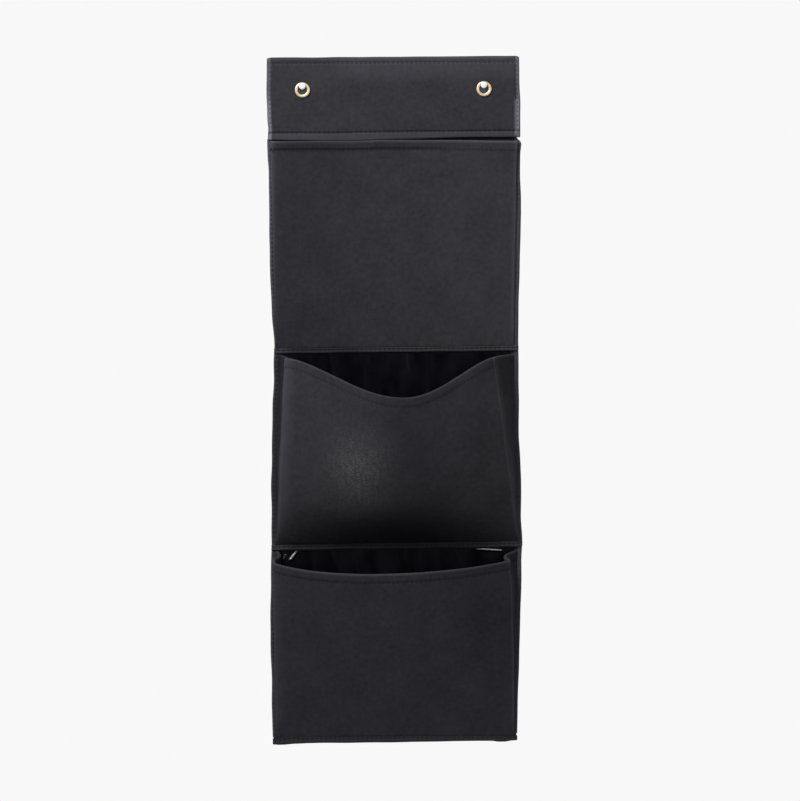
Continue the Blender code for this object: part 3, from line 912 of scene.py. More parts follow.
def header_depth(x, z):
    """How far the header's front stands from the wall."""
    to_top = HEADER_TOP - z
    to_foot = z - HEADER_FOOT
    to_side = SIDE - np.abs(x)
    edge = HEADER_EDGE - 0.0008 * fall(to_top, 0, 0.0036)
    below_top = edge + (HEADER_DEPTH - edge) * rise(to_top, 0.0060, 0.0022)
    edge = HEADER_SIDE_EDGE - 0.0006 * fall(to_side, 0, 0.0030)
    beside = edge + (HEADER_DEPTH - edge) * rise(to_side, HEADER_SIDE_STITCH, 0.0030)
    depth = np.minimum(below_top, beside)
    hem = fall(to_foot, HEADER_HEM - 0.0006, 0.0012)
    lip = HEADER_DEPTH + HEADER_LIP - 0.0005 * fall(z, header_outline(x)[1], 0.0015)
    depth = depth + (lip - depth) * hem * rise(to_side, 0.0010, 0.0050)
    depth = depth - groove(to_top, HEADER_TOP_STITCH) - groove(to_foot, HEADER_FOOT_STITCH)
    depth = depth - 0.35 * groove(to_side, HEADER_SIDE_STITCH)
    for cx, cz in EYELETS.values():
        near = np.hypot(x - cx, z + tilt(x, z) - cz)
        depth = depth - 0.0004 * fall(near, 0.0098, 0.0040)
    return depth + 0.00012 * ripple(x, z, 0.035, 11) + 0.00022 * ripple(x, z, 0.090, 12)


# How far the header's foot hangs below the frame's even one (place across, millimetres)
HEADER_DROPS = (
    (-0.151, 0.9), (-0.138, 1.1), (-0.126, 1.8), (-0.105, 1.9), (-0.088, 2.3), (-0.068, 2.3),
    (-0.045, 2.7), (-0.030, 2.8), (-0.018, 2.3), (0.007, 2.05), (0.043, 1.2), (0.079, 0.55),
    (0.115, 0.25), (0.1416, 0.35), (0.151, 1.3),
)


def header_outline(x):
    """The header's top and foot at a place across: its foot hangs lower on the left."""
    corner = np.maximum(np.abs(x) - (SIDE - HEADER_CORNER), 0.0) / HEADER_CORNER
    top = HEADER_TOP + 0.0001 - 0.0016 * corner**2 + 0.00025 * ripple(x, 0 * x, 0.050, 21)
    foot = HEADER_FOOT - read_table(HEADER_DROPS, x) / 1000
    foot = foot + 0.0008 * corner**2 + 0.00015 * ripple(x, 0 * x, 0.070, 22)
    return top, foot


def header_points(x, z, depth):
    """The header as it hangs: its sides a little wavy, its top and foot climbing to the right."""
    sway = np.where(x < 0, -shift_at(HEADER_SHIFTS[-1], z), shift_at(HEADER_SHIFTS[1], z))
    sway = sway + 0.00035 * ripple(0 * z, z, 0.035, 23)
    swayed = x + sway * rise(np.abs(x), 0.12, 0.03)
    dip = 0.0007 * bell(x, -0.068, 0.030) * fall(z, HEADER_FOOT, 0.030)
    return points_at(swayed, -depth, z + tilt(x, z) - dip)


def header_values(x, z):
    """Where the header is pale, and how near each point is to a row of stitches.

    Its edges are rubbed pale; its upper part is paler with a painted highlight.
    """
    to_top = HEADER_TOP - z
    to_foot = z - HEADER_FOOT
    to_side = SIDE - np.abs(x)
    low = fall(z, -0.026, 0.030)
    sides = 0.41 + 0.16 * low + 0.08 * ripple(0 * x, z, 0.020, 24)
    sides = sides * fall(to_side, 0.0042, 0.0010)
    torn = rise(-z, 0.010, 0.006) * fall(-z, 0.054, 0.004)
    left = 0.45 * bell(to_side, 0.0030, 0.0009) * (x < 0)
    right = bell(to_side, 0.0046, 0.0019) * (x > 0)
    lip = 0.09 * fall(to_top, 0.0008, 0.0016)
    hem = 0.107 * fall(to_foot, HEADER_HEM - 0.0004, 0.0008)
    # Painted highlight: the upper part is paler, more so to the right, where light falls from above
    highlight_share = rise(z, 0.002, 0.026) * (0.017 + 0.085 * rise(x, -0.11, 0.08))
    wear_and_highlight = np.clip(np.maximum(sides, lip) + hem + highlight_share + torn * (left + right), 0, 1)
    foot_row = 0.9 * closeness(to_foot, HEADER_FOOT_STITCH)
    level = np.maximum(0.8 * closeness(to_top, HEADER_TOP_STITCH), foot_row)
    upright = 0.5 * closeness(to_side, HEADER_SIDE_STITCH)
    along = np.where(level >= upright, x, z)
    seam = np.maximum(level, upright)
    folded = rise(to_top, 0.0016, 0.0014) * fall(to_top, 0.0074, 0.0012)
    return {"wear_and_highlight": wear_and_highlight, "seam": seam, "along": along, "damp_and_shade": 0.07 * folded}


def make_header():
    """The folded sleeve round its board, with a raised hem at the foot and grooved stitching."""
    edge = HEADER_ROUND
    xs = np.concatenate([
        np.linspace(-SIDE + edge, -SIDE + HEADER_END, 18)[:-1],
        np.linspace(-SIDE + HEADER_END, SIDE - HEADER_END, 150)[:-1],
        np.linspace(SIDE - HEADER_END, SIDE - edge, 18),
    ])
    shares = np.concatenate([
        np.linspace(0.0, HEADER_DENSE, 22)[:-1],
        np.linspace(HEADER_DENSE, 1 - HEADER_DENSE, 34)[:-1],
        np.linspace(1 - HEADER_DENSE, 1.0, 22),
    ])
    top, foot = header_outline(xs)
    x = np.broadcast_to(xs, (len(shares), len(xs)))
    z = foot + (top - foot) * shares[:, None]
    back = HEADER_OFF_WALL + 0.0010 * fall(SIDE - np.abs(x), 0, 0.004)
    outer = header_points(x, z, header_depth(x, z))
    inner = header_points(x, z + 0.0025 * fall(shares, 0, 0.09)[:, None], back)
    values = header_values(x, z)
    sleeve = closed_sheet(
        "header_cloth_sleeve", outer, inner, header_cloth, values=values, bulge=HEADER_ROUND
    )
    reach = SIDE - HEADER_SIDE_HEM + GAP
    board_low, board_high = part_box("header_board")
    low_corner = (-reach, board_low.y - GAP, board_low.z - GAP)
    cut_box(sleeve, low_corner, (reach, board_high.y + GAP, board_high.z + GAP))
    barrel = EYELET_BORE / 2 + EYELET_WALL + GAP
    recess = EYELET_FLANGE / 2 + GAP
    for centre in EYELETS.values():
        rim = [
            (0.0, -0.02), (barrel, -0.02), (barrel, -WASHER - GAP),
            (recess, -WASHER - GAP), (recess, 0.01), (0.0, 0.01),
        ]
        cut_with(sleeve, turned("eyelet_cutter", rim, centre, header_cloth, 64, False))
    attach(sleeve, "header", "header_sleeve", slot="header_cloth")
    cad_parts["header_board"].data.materials[0] = board_plastic
    header_threads()


def header_threads():
    """Stitch rows along the header's top, foot and sides."""
    inset = HEADER_SIDE_STITCH
    long_x = np.linspace(-SIDE + inset, SIDE - inset, 300)
    side_z = np.linspace(HEADER_FOOT + HEADER_HEM + 0.001, HEADER_TOP - HEADER_TOP_STITCH, 80)
    rows = {
        "top": (long_x, 0 * long_x + HEADER_TOP - HEADER_TOP_STITCH),
        "foot": (long_x, 0 * long_x + HEADER_FOOT + HEADER_FOOT_STITCH),
        "left": (0 * side_z - SIDE + inset, side_z),
        "right": (0 * side_z + SIDE - inset, side_z),
    }
    for key, (x, z) in rows.items():
        path = header_points(x, z, header_depth(x, z))
        along, look = (x, thread) if key in ("top", "foot") else (z, pale_thread)
        made = stitches("header_stitches_" + key, path, along, look)
        attach(made, "header", slot="header_cloth")


def apply_modifiers(made):
    graph = bpy.context.evaluated_depsgraph_get()
    mesh = bpy.data.meshes.new_from_object(made.evaluated_get(graph))
    made.modifiers.clear()
    old = made.data
    made.data = mesh
    bpy.data.meshes.remove(old)


def cut_with(made, cutter):
    """Cut a shape out of a piece and apply it."""
    cutting = made.modifiers.new("cut", "BOOLEAN")
    cutting.operation = "DIFFERENCE"
    cutting.solver = "EXACT"
    cutting.object = cutter
    bpy.context.view_layer.update()
    apply_modifiers(made)
    bpy.data.objects.remove(cutter)


def cut_box(made, low, high):
    work = bmesh.new()
    bmesh.ops.create_cube(work, size=1.0)
    low, high = Vector(low), Vector(high)
    for vert in work.verts:
        vert.co = (low + high) / 2 + Vector(a * b for a, b in zip(vert.co, high - low))
    mesh = bpy.data.meshes.new("box_cutter")
    work.to_mesh(mesh)
    work.free()
    cut_with(made, linked(bpy.data.objects.new("box_cutter", mesh)))


def quarter(centre, wide, deep, steps):
    """Points of a quarter round from the side to the crown."""
    angles = [math.pi / 2 * k / steps for k in range(1, steps + 1)]
    return [(centre[0] + wide * math.cos(a), centre[1] - deep * math.sin(a)) for a in angles]


def make_eyelets():
    """Brass eyelets with a rolled rim and crown, and their washers behind."""
    bore = EYELET_BORE / 2
    barrel = bore + EYELET_WALL
    rim = EYELET_FLANGE / 2 - 0.0004
    seat = -HEADER_DEPTH - GAP
    crown = seat - EYELET_BEAD
    middle = (bore + rim) / 2
    profile = [(bore, -0.0003), (barrel, -0.0003), (barrel, seat), (rim - 0.0005, seat)]
    profile += [(rim, seat - 0.0002), (rim, crown + 0.0009)]
    profile += quarter((middle, crown + 0.0009), rim - middle, 0.0009, 10)
    profile += [(2 * middle - r, y) for r, y in profile[-2:-11:-1]]
    profile.append((bore, crown + 0.0016))
    washer_rim = [
        (barrel + GAP, -0.0007), (rim - 0.0003, -0.0008), (rim, -0.0006),
        (rim, -0.0004), (rim - 0.0004, -0.0003), (barrel + GAP, -0.0003),
    ]
    kinds = (
        ("brass_eyelet_", "eyelet_", profile),
        ("brass_washer_", "eyelet_washer_", washer_rim),
    )
    for side, centre in EYELETS.items():
        for name, node, outline in kinds:
            made = turned(name + side, outline, centre, brass)
            attach(made, "header", node + side, slot="eyelet_brass")


def make_nails():
    """White domed nail heads on steel shanks, each in a plug in the wall."""
    shank = NAIL_SHANK / 2
    head = NAIL_HEAD / 2
    height = EYELET_BORE / 2 - shank - GAP
    under = -HEADER_DEPTH - GAP - EYELET_BEAD - NAIL_STANDOFF
    lip = 0.0003
    dome = quarter((0.0, under - lip), head, NAIL_HEAD_HEIGHT - lip, 12)
    top = [(0.0, under - NAIL_HEAD_HEIGHT)] + dome[-2::-1]
    top += [(head, under - lip), (head - 0.0002, under), (0.0, under)]
    pin = [(0.0, under - 0.0002), (shank, under - 0.0002)]
    pin += [(shank, NAIL_IN_WALL - 0.004), (shank * 0.6, NAIL_IN_WALL - 0.0015)]
    pin.append((0.0, NAIL_IN_WALL))
    for side, (x, z) in EYELETS.items():
        head_centre = (x, z + height + NAIL_HEAD_OFF)
        nail = turned("nail_head_" + side, top, head_centre, nail_paint, closed=False)
        attach(nail, "header", "wall_nail_" + side, slot="nail_paint")
        steel = turned("nail_shank_" + side, pin, (x, z + height), shank_steel, 48, False)
        attach(steel, "header", "wall_nail_" + side)
        attach(make_plug(side, x, z + height), "header")


PLUG_COLLAR = 0.0086
PLUG_BODY = 0.0032
PLUG_FACE = 0.0011
PLUG_RIBS = 7
PLUG_PITCH = 0.0024


def make_plug(side, x, z):
    """A wall plug round the shank, its collar lying on the wall and its body ribbed."""
    inner = NAIL_SHANK / 2 + 0.0002
    outline = [(inner, PLUG_FACE + 0.0003), (PLUG_COLLAR - 0.0004, PLUG_FACE)]
    outline += [(PLUG_COLLAR, PLUG_FACE + 0.0004), (PLUG_COLLAR, PLUG_FACE + 0.0009)]
    outline += [(PLUG_COLLAR - 0.0004, PLUG_FACE + 0.0012), (PLUG_BODY, PLUG_FACE + 0.0012)]
    for k in range(PLUG_RIBS):
        start = PLUG_FACE + 0.0025 + PLUG_PITCH * k
        outline += [(PLUG_BODY, start), (PLUG_BODY + 0.0006, start + 0.0014)]
        outline.append((PLUG_BODY, start + 0.0016))
    outline += [(PLUG_BODY, 0.0205), (PLUG_BODY - 0.0008, 0.0218), (inner, 0.0218)]
    return turned("wall_plug_" + side, outline, (x, z), plug_wall_shade, 48)


def panel_sway(x, z):
    """How far the panel waves from its plane."""
    return 0.00016 * ripple(x, z, 0.110, 31) + 0.00006 * ripple(x, z, 0.030, 32)


def panel_levels(low, high, step=0.0045):
    """Heights from low to high, close together where the panel bends under the header."""
    dense = np.arange(PANEL_TOP, SWING_BEND[1] - 0.002, -0.0010)
    count = int((dense[-1] - low) / step)
    levels = np.concatenate([dense, np.linspace(dense[-1], low, count)[1:]])
    return np.unique(np.round(np.append(levels[levels < high - 0.0004], high), 6))


# How far the panel's upper edge is tucked up behind the header, and over what height it rises
TUCK = 0.0006
TUCK_REACH = 0.0060


def hung_from_header(x, z, tuck):
    """The panel's upper edge follows the header's foot, tucked up behind its front."""
    lift = header_outline(x)[1] + tuck - PANEL_TOP
    return z + lift * rise(z, PANEL_TOP - TUCK_REACH, TUCK_REACH)


def make_panel():
    """The back panel: one cloth from behind the header's foot down to the hem."""
    levels = panel_levels(PANEL_FOOT + BINDING + 2 * GAP, PANEL_TOP)
    us = np.linspace(-1, 1, 81)
    z = levels[:, None] + 0 * us
    x = across(us, z, BINDING + 2 * GAP)
    z = hung_from_header(x, z, TUCK)
    z = z + tilt(x, z)
    sway = panel_sway(x, z)
    outer = points_at(x, -PANEL_FRONT + sway, z)
    inner = points_at(x, -PANEL_BACK + sway, z)
    panel = closed_sheet("panel_cloth_back", outer, inner, panel_cloth, rounding=0.3)
    attach(panel, "swing", "back_panel", slot="panel_cloth")


def u_section(front, back, reach, round_steps=10, leg_steps=9):
    """A folded tape's centre line in (in, depth): down its front leg, round, up its back leg."""
    radius = (front - back) / 2
    middle = (front + back) / 2
    legs = np.linspace(reach, radius, leg_steps)
    turns = np.linspace(-math.pi / 2, math.pi / 2, round_steps + 2)[1:-1]
    line = [(a, front) for a in legs]
    line += [(radius - radius * math.cos(t), middle - radius * math.sin(t)) for t in turns]
    line += [(a, back) for a in legs[::-1]]
    return np.array(line)


def folded_tape(name, line, place, values):
    """A tape along a centre line of (in, depth): place maps both its faces to points."""
    ahead = np.gradient(line, axis=0)
    ahead = ahead / np.linalg.norm(ahead, axis=1, keepdims=True)
    side = np.stack([-ahead[:, 1], ahead[:, 0]], axis=1) * BINDING / 2
    outer, inner = place(line - side), place(line + side)
    return face_outward(closed_sheet(name, outer, inner, binding_tape, None, values, 0.6))


# How far the bindings wave to the side, and how far their front legs stand off and sink in
BINDING_WAVE = 0.00045
BINDING_SAG = 0.00015
# How hard each binding's stitches are pulled in
STITCHES_SHOW = {-1: 1.0, 1: 0.12}
# How pale each binding is painted (height, share): partly rubbed, partly painted light that
# lifts the shade the pockets cast beside them
BINDING_WEAR_AND_HIGHLIGHT = {
    -1: (
        (-0.78, 0.50), (-0.56, 0.55), (-0.53, 0.25), (-0.45, 0.12), (-0.33, 0.15), (-0.28, 0.45),
        (-0.20, 0.90), (-0.06, 1.00),
    ),
    1: (
        (-0.78, 0.40), (-0.56, 0.60), (-0.53, 1.00), (-0.48, 0.70), (-0.35, 0.60), (-0.30, 0.40),
        (-0.20, 0.50), (-0.06, 0.60),
    ),
}


def make_bindings():
    """A folded tape round each side edge, a little wavy, with one row of stitches."""
    levels = panel_levels(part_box("edge_binding_left")[0].z + FOOT_RISE, PANEL_TOP)
    for side, sign in (("left", -1), ("right", 1)):
        line = u_section(BINDING_FRONT - BINDING / 2, BINDING / 2, BINDING_LEG - 0.0004)
        wavy = BINDING_WAVE * ripple(levels, 0 * levels, 0.045, 41 + sign)
        edge = panel_edge(levels, sign) - BINDING / 2 + wavy
        sag = BINDING_SAG * ripple(levels, 0 * levels, 0.025, 43 + sign)

        def place(section):
            x = edge[:, None] - section[None, :, 0]
            y = -section[None, :, 1] - sag[:, None] * (section[None, :, 1] > BINDING_FRONT / 2)
            z = hung_from_header(sign * x, levels[:, None], 0.0)
            z = z + tilt(sign * x, z)
            return points_at(sign * x, y, z)

        count = len(line)
        turn = bell(np.arange(count), count / 2, 3.5)
        seam = closeness(line[:, 0], BINDING_LEG - BINDING_SEAM) * (line[:, 1] > BINDING_FRONT / 2)
        seam = seam * STITCHES_SHOW[sign]
        wear_and_highlight = np.clip(read_table(BINDING_WEAR_AND_HIGHLIGHT[sign], levels)[:, None] + 0.30 * turn, 0, 1)
        values = {"wear_and_highlight": wear_and_highlight, "seam": seam, "along": levels[:, None]}
        tape = folded_tape("binding_" + side, line, place, values)
        attach(tape, "swing", "edge_binding_" + side, slot="binding_tape")
        z = np.linspace(levels[0] + 0.002, levels[-1] - 0.001, 500)
        x = np.interp(z, levels, edge) - BINDING_LEG + BINDING_SEAM
        path = points_at(sign * x, -BINDING_FRONT, z + tilt(sign * x, z))
        look = thread if sign < 0 else pale_thread
        row = stitches("binding_stitches_" + side, path, z, look)
        attach(row, "swing", slot="binding_tape")


# How much fuller a seam strip is along its middle
STRIP_PILLOW = 0.0004


def make_seam_strips():
    """The flat strips that close the two upper pockets, each with a row of stitches."""
    for name in ("top", "middle"):
        low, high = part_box("seam_strip_" + name)
        low.z += STRIP_RISE[name]
        high.z += STRIP_RISE[name]
        us = np.linspace(-1, 1, 121)
        shares = np.linspace(0, 1, 9)
        tall = high.z - low.z
        z = low.z + STRIP_EDGE + (tall - 2 * STRIP_EDGE) * shares[:, None] + 0 * us
        z = z + 0.00025 * ripple(us * SIDE, 0 * us, 0.060, 51)
        x = across(us, z, STRIP_EDGE)
        z = z + tilt(x, z)
        pillow = STRIP_PILLOW * np.sin(math.pi * shares)[:, None] ** 0.6
        dent = groove(shares[:, None] * tall, 0.5 * tall)
        front = SEAM_FRONT - 0.0005 + pillow - dent + 0.00010 * ripple(x, z, 0.040, 52)
        to_edge = np.minimum(panel_edge(z, 1) - x, panel_edge(z, -1) + x)
        under = np.where(to_edge < BINDING_LEG + GAP, BINDING_FRONT + GAP, PANEL_FRONT + 2 * GAP)
        outer = points_at(x, -front, z)
        inner = points_at(x, -under, z)
        # Paler towards both ends, and darker on the left
        wear_and_highlight = 0.14 + 0.24 * rise(np.abs(x), 0.110, 0.030)
        damp_and_shade = 0.45 * rise(-x, 0.02, 0.03) * rise(x, -0.134, 0.014)
        seam = closeness(shares[:, None] * tall, 0.5 * tall)
        values = {"wear_and_highlight": wear_and_highlight, "seam": seam, "along": x, "damp_and_shade": damp_and_shade}
        strip = closed_sheet("seam_tape_" + name, outer, inner, binding_tape, values=values)
        attach(strip, "panel", "seam_strip_" + name, slot="binding_tape")
        flat = (2 * float(half_width(np.array(high.z))), 2 * tall)
        path = outer[len(shares) // 2]
        made = stitches("seam_stitches_" + name, path, path[:, 0], thread)
        attach(made, "panel", slot="binding_tape")


def make_foot_hem():
    """The hem that wraps the panel's lower edge and closes the bottom pocket."""
    low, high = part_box("foot_hem")
    tall = high.z - low.z
    us = np.linspace(-1, 1, 121)
    xs = across(us, PANEL_FOOT, STRIP_EDGE)
    wave = 0.0003 * ripple(xs, 0 * xs, 0.070, 61) + tilt(xs, PANEL_FOOT) - foot_drop(xs)
    taller = 1 + (foot_drop(xs) - hem_drop(xs)) / tall
    line = u_section(SEAM_FRONT - BINDING / 2, BINDING / 2, tall - BINDING)

    def place(section):
        z = PANEL_FOOT + BINDING / 2 + section[None, :, 0] * taller[:, None] + wave[:, None]
        return points_at(xs[:, None], -section[None, :, 1], z)

    up = tall - BINDING - FOOT_SEAM
    seam = closeness(line[:, 0], up) * (line[:, 1] > SEAM_FRONT / 2)
    values = {"damp_and_shade": 0.20, "seam": seam, "along": xs[:, None]}
    hem = folded_tape("foot_tape", line, place, values)
    attach(hem, "panel", "foot_hem", slot="binding_tape")
    path = points_at(xs, -SEAM_FRONT, PANEL_FOOT + BINDING / 2 + up * taller + wave)
    attach(stitches("foot_stitches", path, xs, thread), "panel", slot="binding_tape")


# The pockets' small upright waves above their seams, and the dusty patch on the middle one
PUCKER = 0.00035
PUCKER_PITCH = 0.016
DUST_CENTRE = (-0.044, -0.452)
DUST_SIZE = (0.034, 0.040)
DUST_AMOUNT = 0.80


def pressed_in(pocket, x):
    """How hard the rim's stitches are pulled in: the top pocket's less toward the right."""
    slack = 0.65 * rise(x, 0.03, 0.06) if pocket["name"] == "top" else 0.0
    return pocket["stitched"] * (1 - slack)


def pocket_surface(pocket):
    """The pocket's outer grid with its relief, hem and groove, and its distances to the rim."""
    levels = pocket_levels(pocket)
    plain = np.stack([pocket_row(pocket, v) for v in levels])
    places = flat_places(plain)
    normal = normals_of(plain)
    rim = places[-1, :, 1] + (1 - levels[-1]) * pocket["height"]
    to_rim = rim - places[..., 1]
    from_seam = places[..., 1]
    inner_columns = np.arange(plain.shape[1])
    to_root = np.minimum(inner_columns, inner_columns[::-1])
    hold = rise(from_seam, 0, 0.030) * rise(to_root, 1, 8)
    seed = pocket["seed"]
    u, v = places[..., 0], places[..., 1]
    relief = ripple(u, v, 0.085, seed) + 0.35 * ripple(u, v, 0.030, seed + 10)
    phase = 2 * ripple(u, 0 * u, 0.05, seed + 20)
    pucker = PUCKER * np.sin(u * math.tau / PUCKER_PITCH + phase)
    pucker = pucker * rise(from_seam, 0, 0.004) * fall(from_seam, 0, 0.022)
    raised = HEM_RISE * fall(to_rim, HEM_STITCH, 0.0015) * rise(to_root, 1, 4)
    relief = relief + 0.45 * ripple(u, 0 * u, 0.020, seed + 30) * rise(v, 0.09, 0.06)
    dent = groove(to_rim, HEM_STITCH) * pressed_in(pocket, plain[..., 0]) ** 2
    push = pocket["relief"] * relief * hold + pucker + raised - dent
    outer = plain + normal * push[..., None]
    return outer, normals_of(outer), places, to_rim


def spot(x, z, centre, size):
    """A soft round patch: 1 in its middle, fading outward."""
    return np.exp(-(((x - centre[0]) / size[0]) ** 2) - ((z - centre[1]) / size[1]) ** 2)


def damp_and_shade_of(pocket, outer, to_rim):
    """Where the cloth is darker: partly damp along the seams that hold soil, partly painted shade.

    The painted shade lies inside the gussets, along the middle pocket's seam under its belly and
    over its right half.
    """
    x, z = outer[..., 0], outer[..., 2]
    above = z - pocket["seam"]
    if pocket["name"] == "top":
        # Darker on the left and along the hem
        hem = fall(to_rim, HEM, 0.0008) * fall(x, 0.02, 0.08)
        hem = hem * (0.3 + 0.7 * rise(x, -0.138, 0.020))
        damp_and_shade = 0.24 * fall(x, -0.12, 0.14) * rise(x, -0.152, 0.020) + 0.22 * hem
    elif pocket["name"] == "middle":
        # Painted shade over the right half, which turns from the light, and darker in the middle
        right = rise(x, -0.04, 0.05) * (1 - 0.7 * rise(x, 0.05, 0.03))
        damp_and_shade = 0.03 + 0.13 * right + 0.22 * spot(x, z, (0.008, -0.415), (0.040, 0.050))
        # A deep painted shadow along the seam under the belly, where the cloth is also damp
        damp_and_shade = damp_and_shade + 0.70 * spot(x, above, (0.0, 0.018), (0.096, 0.023))
    else:
        # Darker all over, more to both sides and at the upper right
        upper = rise(above, 0.05, 0.08)
        damp_and_shade = 0.16 + 0.07 * rise(np.abs(x + 0.01), 0, 0.12)
        damp_and_shade = damp_and_shade + 0.12 * rise(x, 0.04, 0.07) * upper
    # Painted shade inside the gussets
    columns = np.arange(outer.shape[1])
    for sign, near in ((-1, columns), (1, columns[::-1])):
        damp_and_shade = np.maximum(damp_and_shade, pocket["dark"][sign] * fall(near, GUSSET_STEPS, 4))
    return damp_and_shade


def wear_and_highlight_of(pocket, outer, places, to_rim):
    """Where the cloth is pale: the rim, the crest of each side fold and some edges.

    The rim and the crests are partly rubbed and partly a painted highlight. The band beside the
    left fold and the top pocket's left edge are a painted highlight.
    """
    x, up = outer[..., 0], places[..., 1]
    # The rim: partly rubbed, partly a painted highlight along its rounded top
    pale, reach = pocket["rim_wear_and_highlight"]
    wear_and_highlight = pale * fall(to_rim, 0.0002, reach)
    apex = GUSSET_STEPS + 1 + FOLD_STEPS // 2
    for sign, column in ((-1, apex), (1, outer.shape[1] - 1 - apex)):
        # The fold's crest: partly rubbed, partly a painted highlight where the fold catches light
        amount, wide = pocket["crest"][sign]
        inward = sign * (places[:, [column], 0] - places[..., 0])
        crest = amount * bell(inward, 0.0006, wide)
        if sign < 0:
            # A painted highlight on the front beside the left fold
            highlight_share, reach = pocket["fold_highlight"]
            crest = crest + highlight_share * rise(inward, 0, 0.002) * fall(inward, 0, reach)
        wear_and_highlight = wear_and_highlight + crest * rise(up, 0, 0.03)
    if pocket["name"] == "top":
        # The top pocket: paler towards the right, a painted highlight along its left edge, and
        # painted light that lifts the shade in its right gusset
        wear_and_highlight = wear_and_highlight + 0.07 * rise(x, 0.02, 0.09)
        wear_and_highlight = wear_and_highlight + 0.82 * fall(x, -0.1490, 0.0100)
        from_right = np.arange(outer.shape[1])[::-1]
        wear_and_highlight = wear_and_highlight + 0.55 * fall(from_right, GUSSET_STEPS - 2, 6)
    return np.clip(wear_and_highlight, 0, 1)


def dust_of(pocket, outer):
    """A dusty patch on the middle pocket."""
    amount = DUST_AMOUNT if pocket["name"] == "middle" else 0.0
    return amount * spot(outer[..., 0], outer[..., 2], DUST_CENTRE, DUST_SIZE)


def make_pocket(name):
    """A pocket's cloth in one sheet: front and both gussets, hemmed round the mouth."""
    pocket = POCKETS[name]
    outer, normal, places, to_rim = pocket_surface(pocket)
    fold_in = fall(to_rim, HEM - 0.0006, 0.0012)
    thick = CLOTH + (HEM_THICK - CLOTH) * fold_in
    inner = outer - normal * thick[..., None]
    values = {
        "wear_and_highlight": wear_and_highlight_of(pocket, outer, places, to_rim), "dust": dust_of(pocket, outer),
        "seam": closeness(to_rim, HEM_STITCH) * pressed_in(pocket, outer[..., 0]),
        "along": places[..., 0],
        "damp_and_shade": damp_and_shade_of(pocket, outer, to_rim),
    }
    cloth = closed_sheet("pocket_cloth_" + name, outer, inner, pocket_cloth, places, values)
    gussets = ["gusset_" + name + side for side in ("_left", "_right")]
    attach(cloth, name, "pocket_front_" + name, *gussets, slot="pocket_cloth")
    span = np.ptp(places[..., 0], axis=1)
    tall = np.ptp(places[..., 1], axis=0)
    path, up, along = level_at(outer, normal, places, to_rim, HEM_STITCH)
    row = stitches("mouth_stitches_" + name, path, along, thread, up)
    attach(row, name, slot="pocket_cloth")
    make_front_lining(pocket, outer, normal, to_rim)


def level_at(outer, normal, places, to_rim, distance):
    """The line across the cloth at a set distance from the rim: points, normals and measure."""
    grid = np.concatenate([outer, normal, places[..., :1]], axis=-1)[::-1]
    line = []
    for j in range(3, outer.shape[1] - 3):
        line.append([np.interp(distance, to_rim[::-1, j], column) for column in grid[:, j].T])
    line = np.array(line)
    return line[:, :3], line[:, 3:6], line[:, 6]


def crumple(x, z, seed, length=0.030):
    """Soft creases of loose film, from 0 up."""
    ridges = 1 - np.abs(ripple(x, z, length, seed)) * 1.2
    ridges = np.clip(ridges, 0, 1) ** 3
    return 0.6 * ridges + 0.4 * (0.5 + 0.5 * np.clip(ripple(x, z, 2.4 * length, seed + 1), -1, 1))


def make_front_lining(pocket, outer, normal, to_rim):
    """Film behind the pocket's front, up to its hem."""
    name = pocket["name"]
    first = GUSSET_STEPS + 1 + FOLD_STEPS + 2
    columns = slice(first, outer.shape[1] - first, 2)
    rows = np.where(to_rim[:, outer.shape[1] // 2] > HEM + 0.001)[0][2::2]
    base = outer[rows][:, columns]
    away = normal[rows][:, columns]
    x, z = base[..., 0], base[..., 2]
    rim = to_rim[rows][:, columns]
    hold = rise(rim, HEM, 0.02) * rise(np.arange(len(rows)), 0, 8)[:, None]
    loose = pocket["loose"][0] * crumple(x, z, 81, 0.035)
    inward = CLOTH + GAP + 0.0001 + loose * hold
    front = base - away * inward[..., None]
    back = front - away * LINING
    film = closed_sheet("film_front_" + name, front, back, lining_film)
    attach(film, name, "lining_front_" + name, slot="lining_film")
    places = flat_places(front)


def ridge(x, z, first, second, width, height):
    """A sharp fold raised along the line between two points."""
    first, second = np.array(first), np.array(second)
    line = second - first
    length = np.hypot(*line)
    line = line / length
    along = (x - first[0]) * line[0] + (z - first[1]) * line[1]
    beside = (x - first[0]) * line[1] - (z - first[1]) * line[0]
    ends = smooth((along + width) / (2 * width)) * smooth((length + width - along) / (2 * width))
    return height * ends * bell(beside, 0, width)


# Hard folds in the film at both corners of the bottom pocket's mouth
# (its ends, width, height and how bright the white glint painted on it is)
HARD_FOLDS = (
    ((-0.1250, -0.5608), (-0.1195, -0.5535), 0.0013, 0.0030, 1.0),
    ((-0.1197, -0.5538), (-0.1168, -0.5502), 0.0007, 0.0026, 1.0),
    ((-0.1327, -0.5600), (-0.1300, -0.5540), 0.0009, 0.0016, 0.15),
    ((0.0975, -0.5506), (0.1285, -0.5531), 0.0011, 0.0064, 1.0),
)


# The steps between the film's rows, and the height of its upper part with finer ones
FILM_STEP = 0.0030
FILM_DENSE = 0.0160


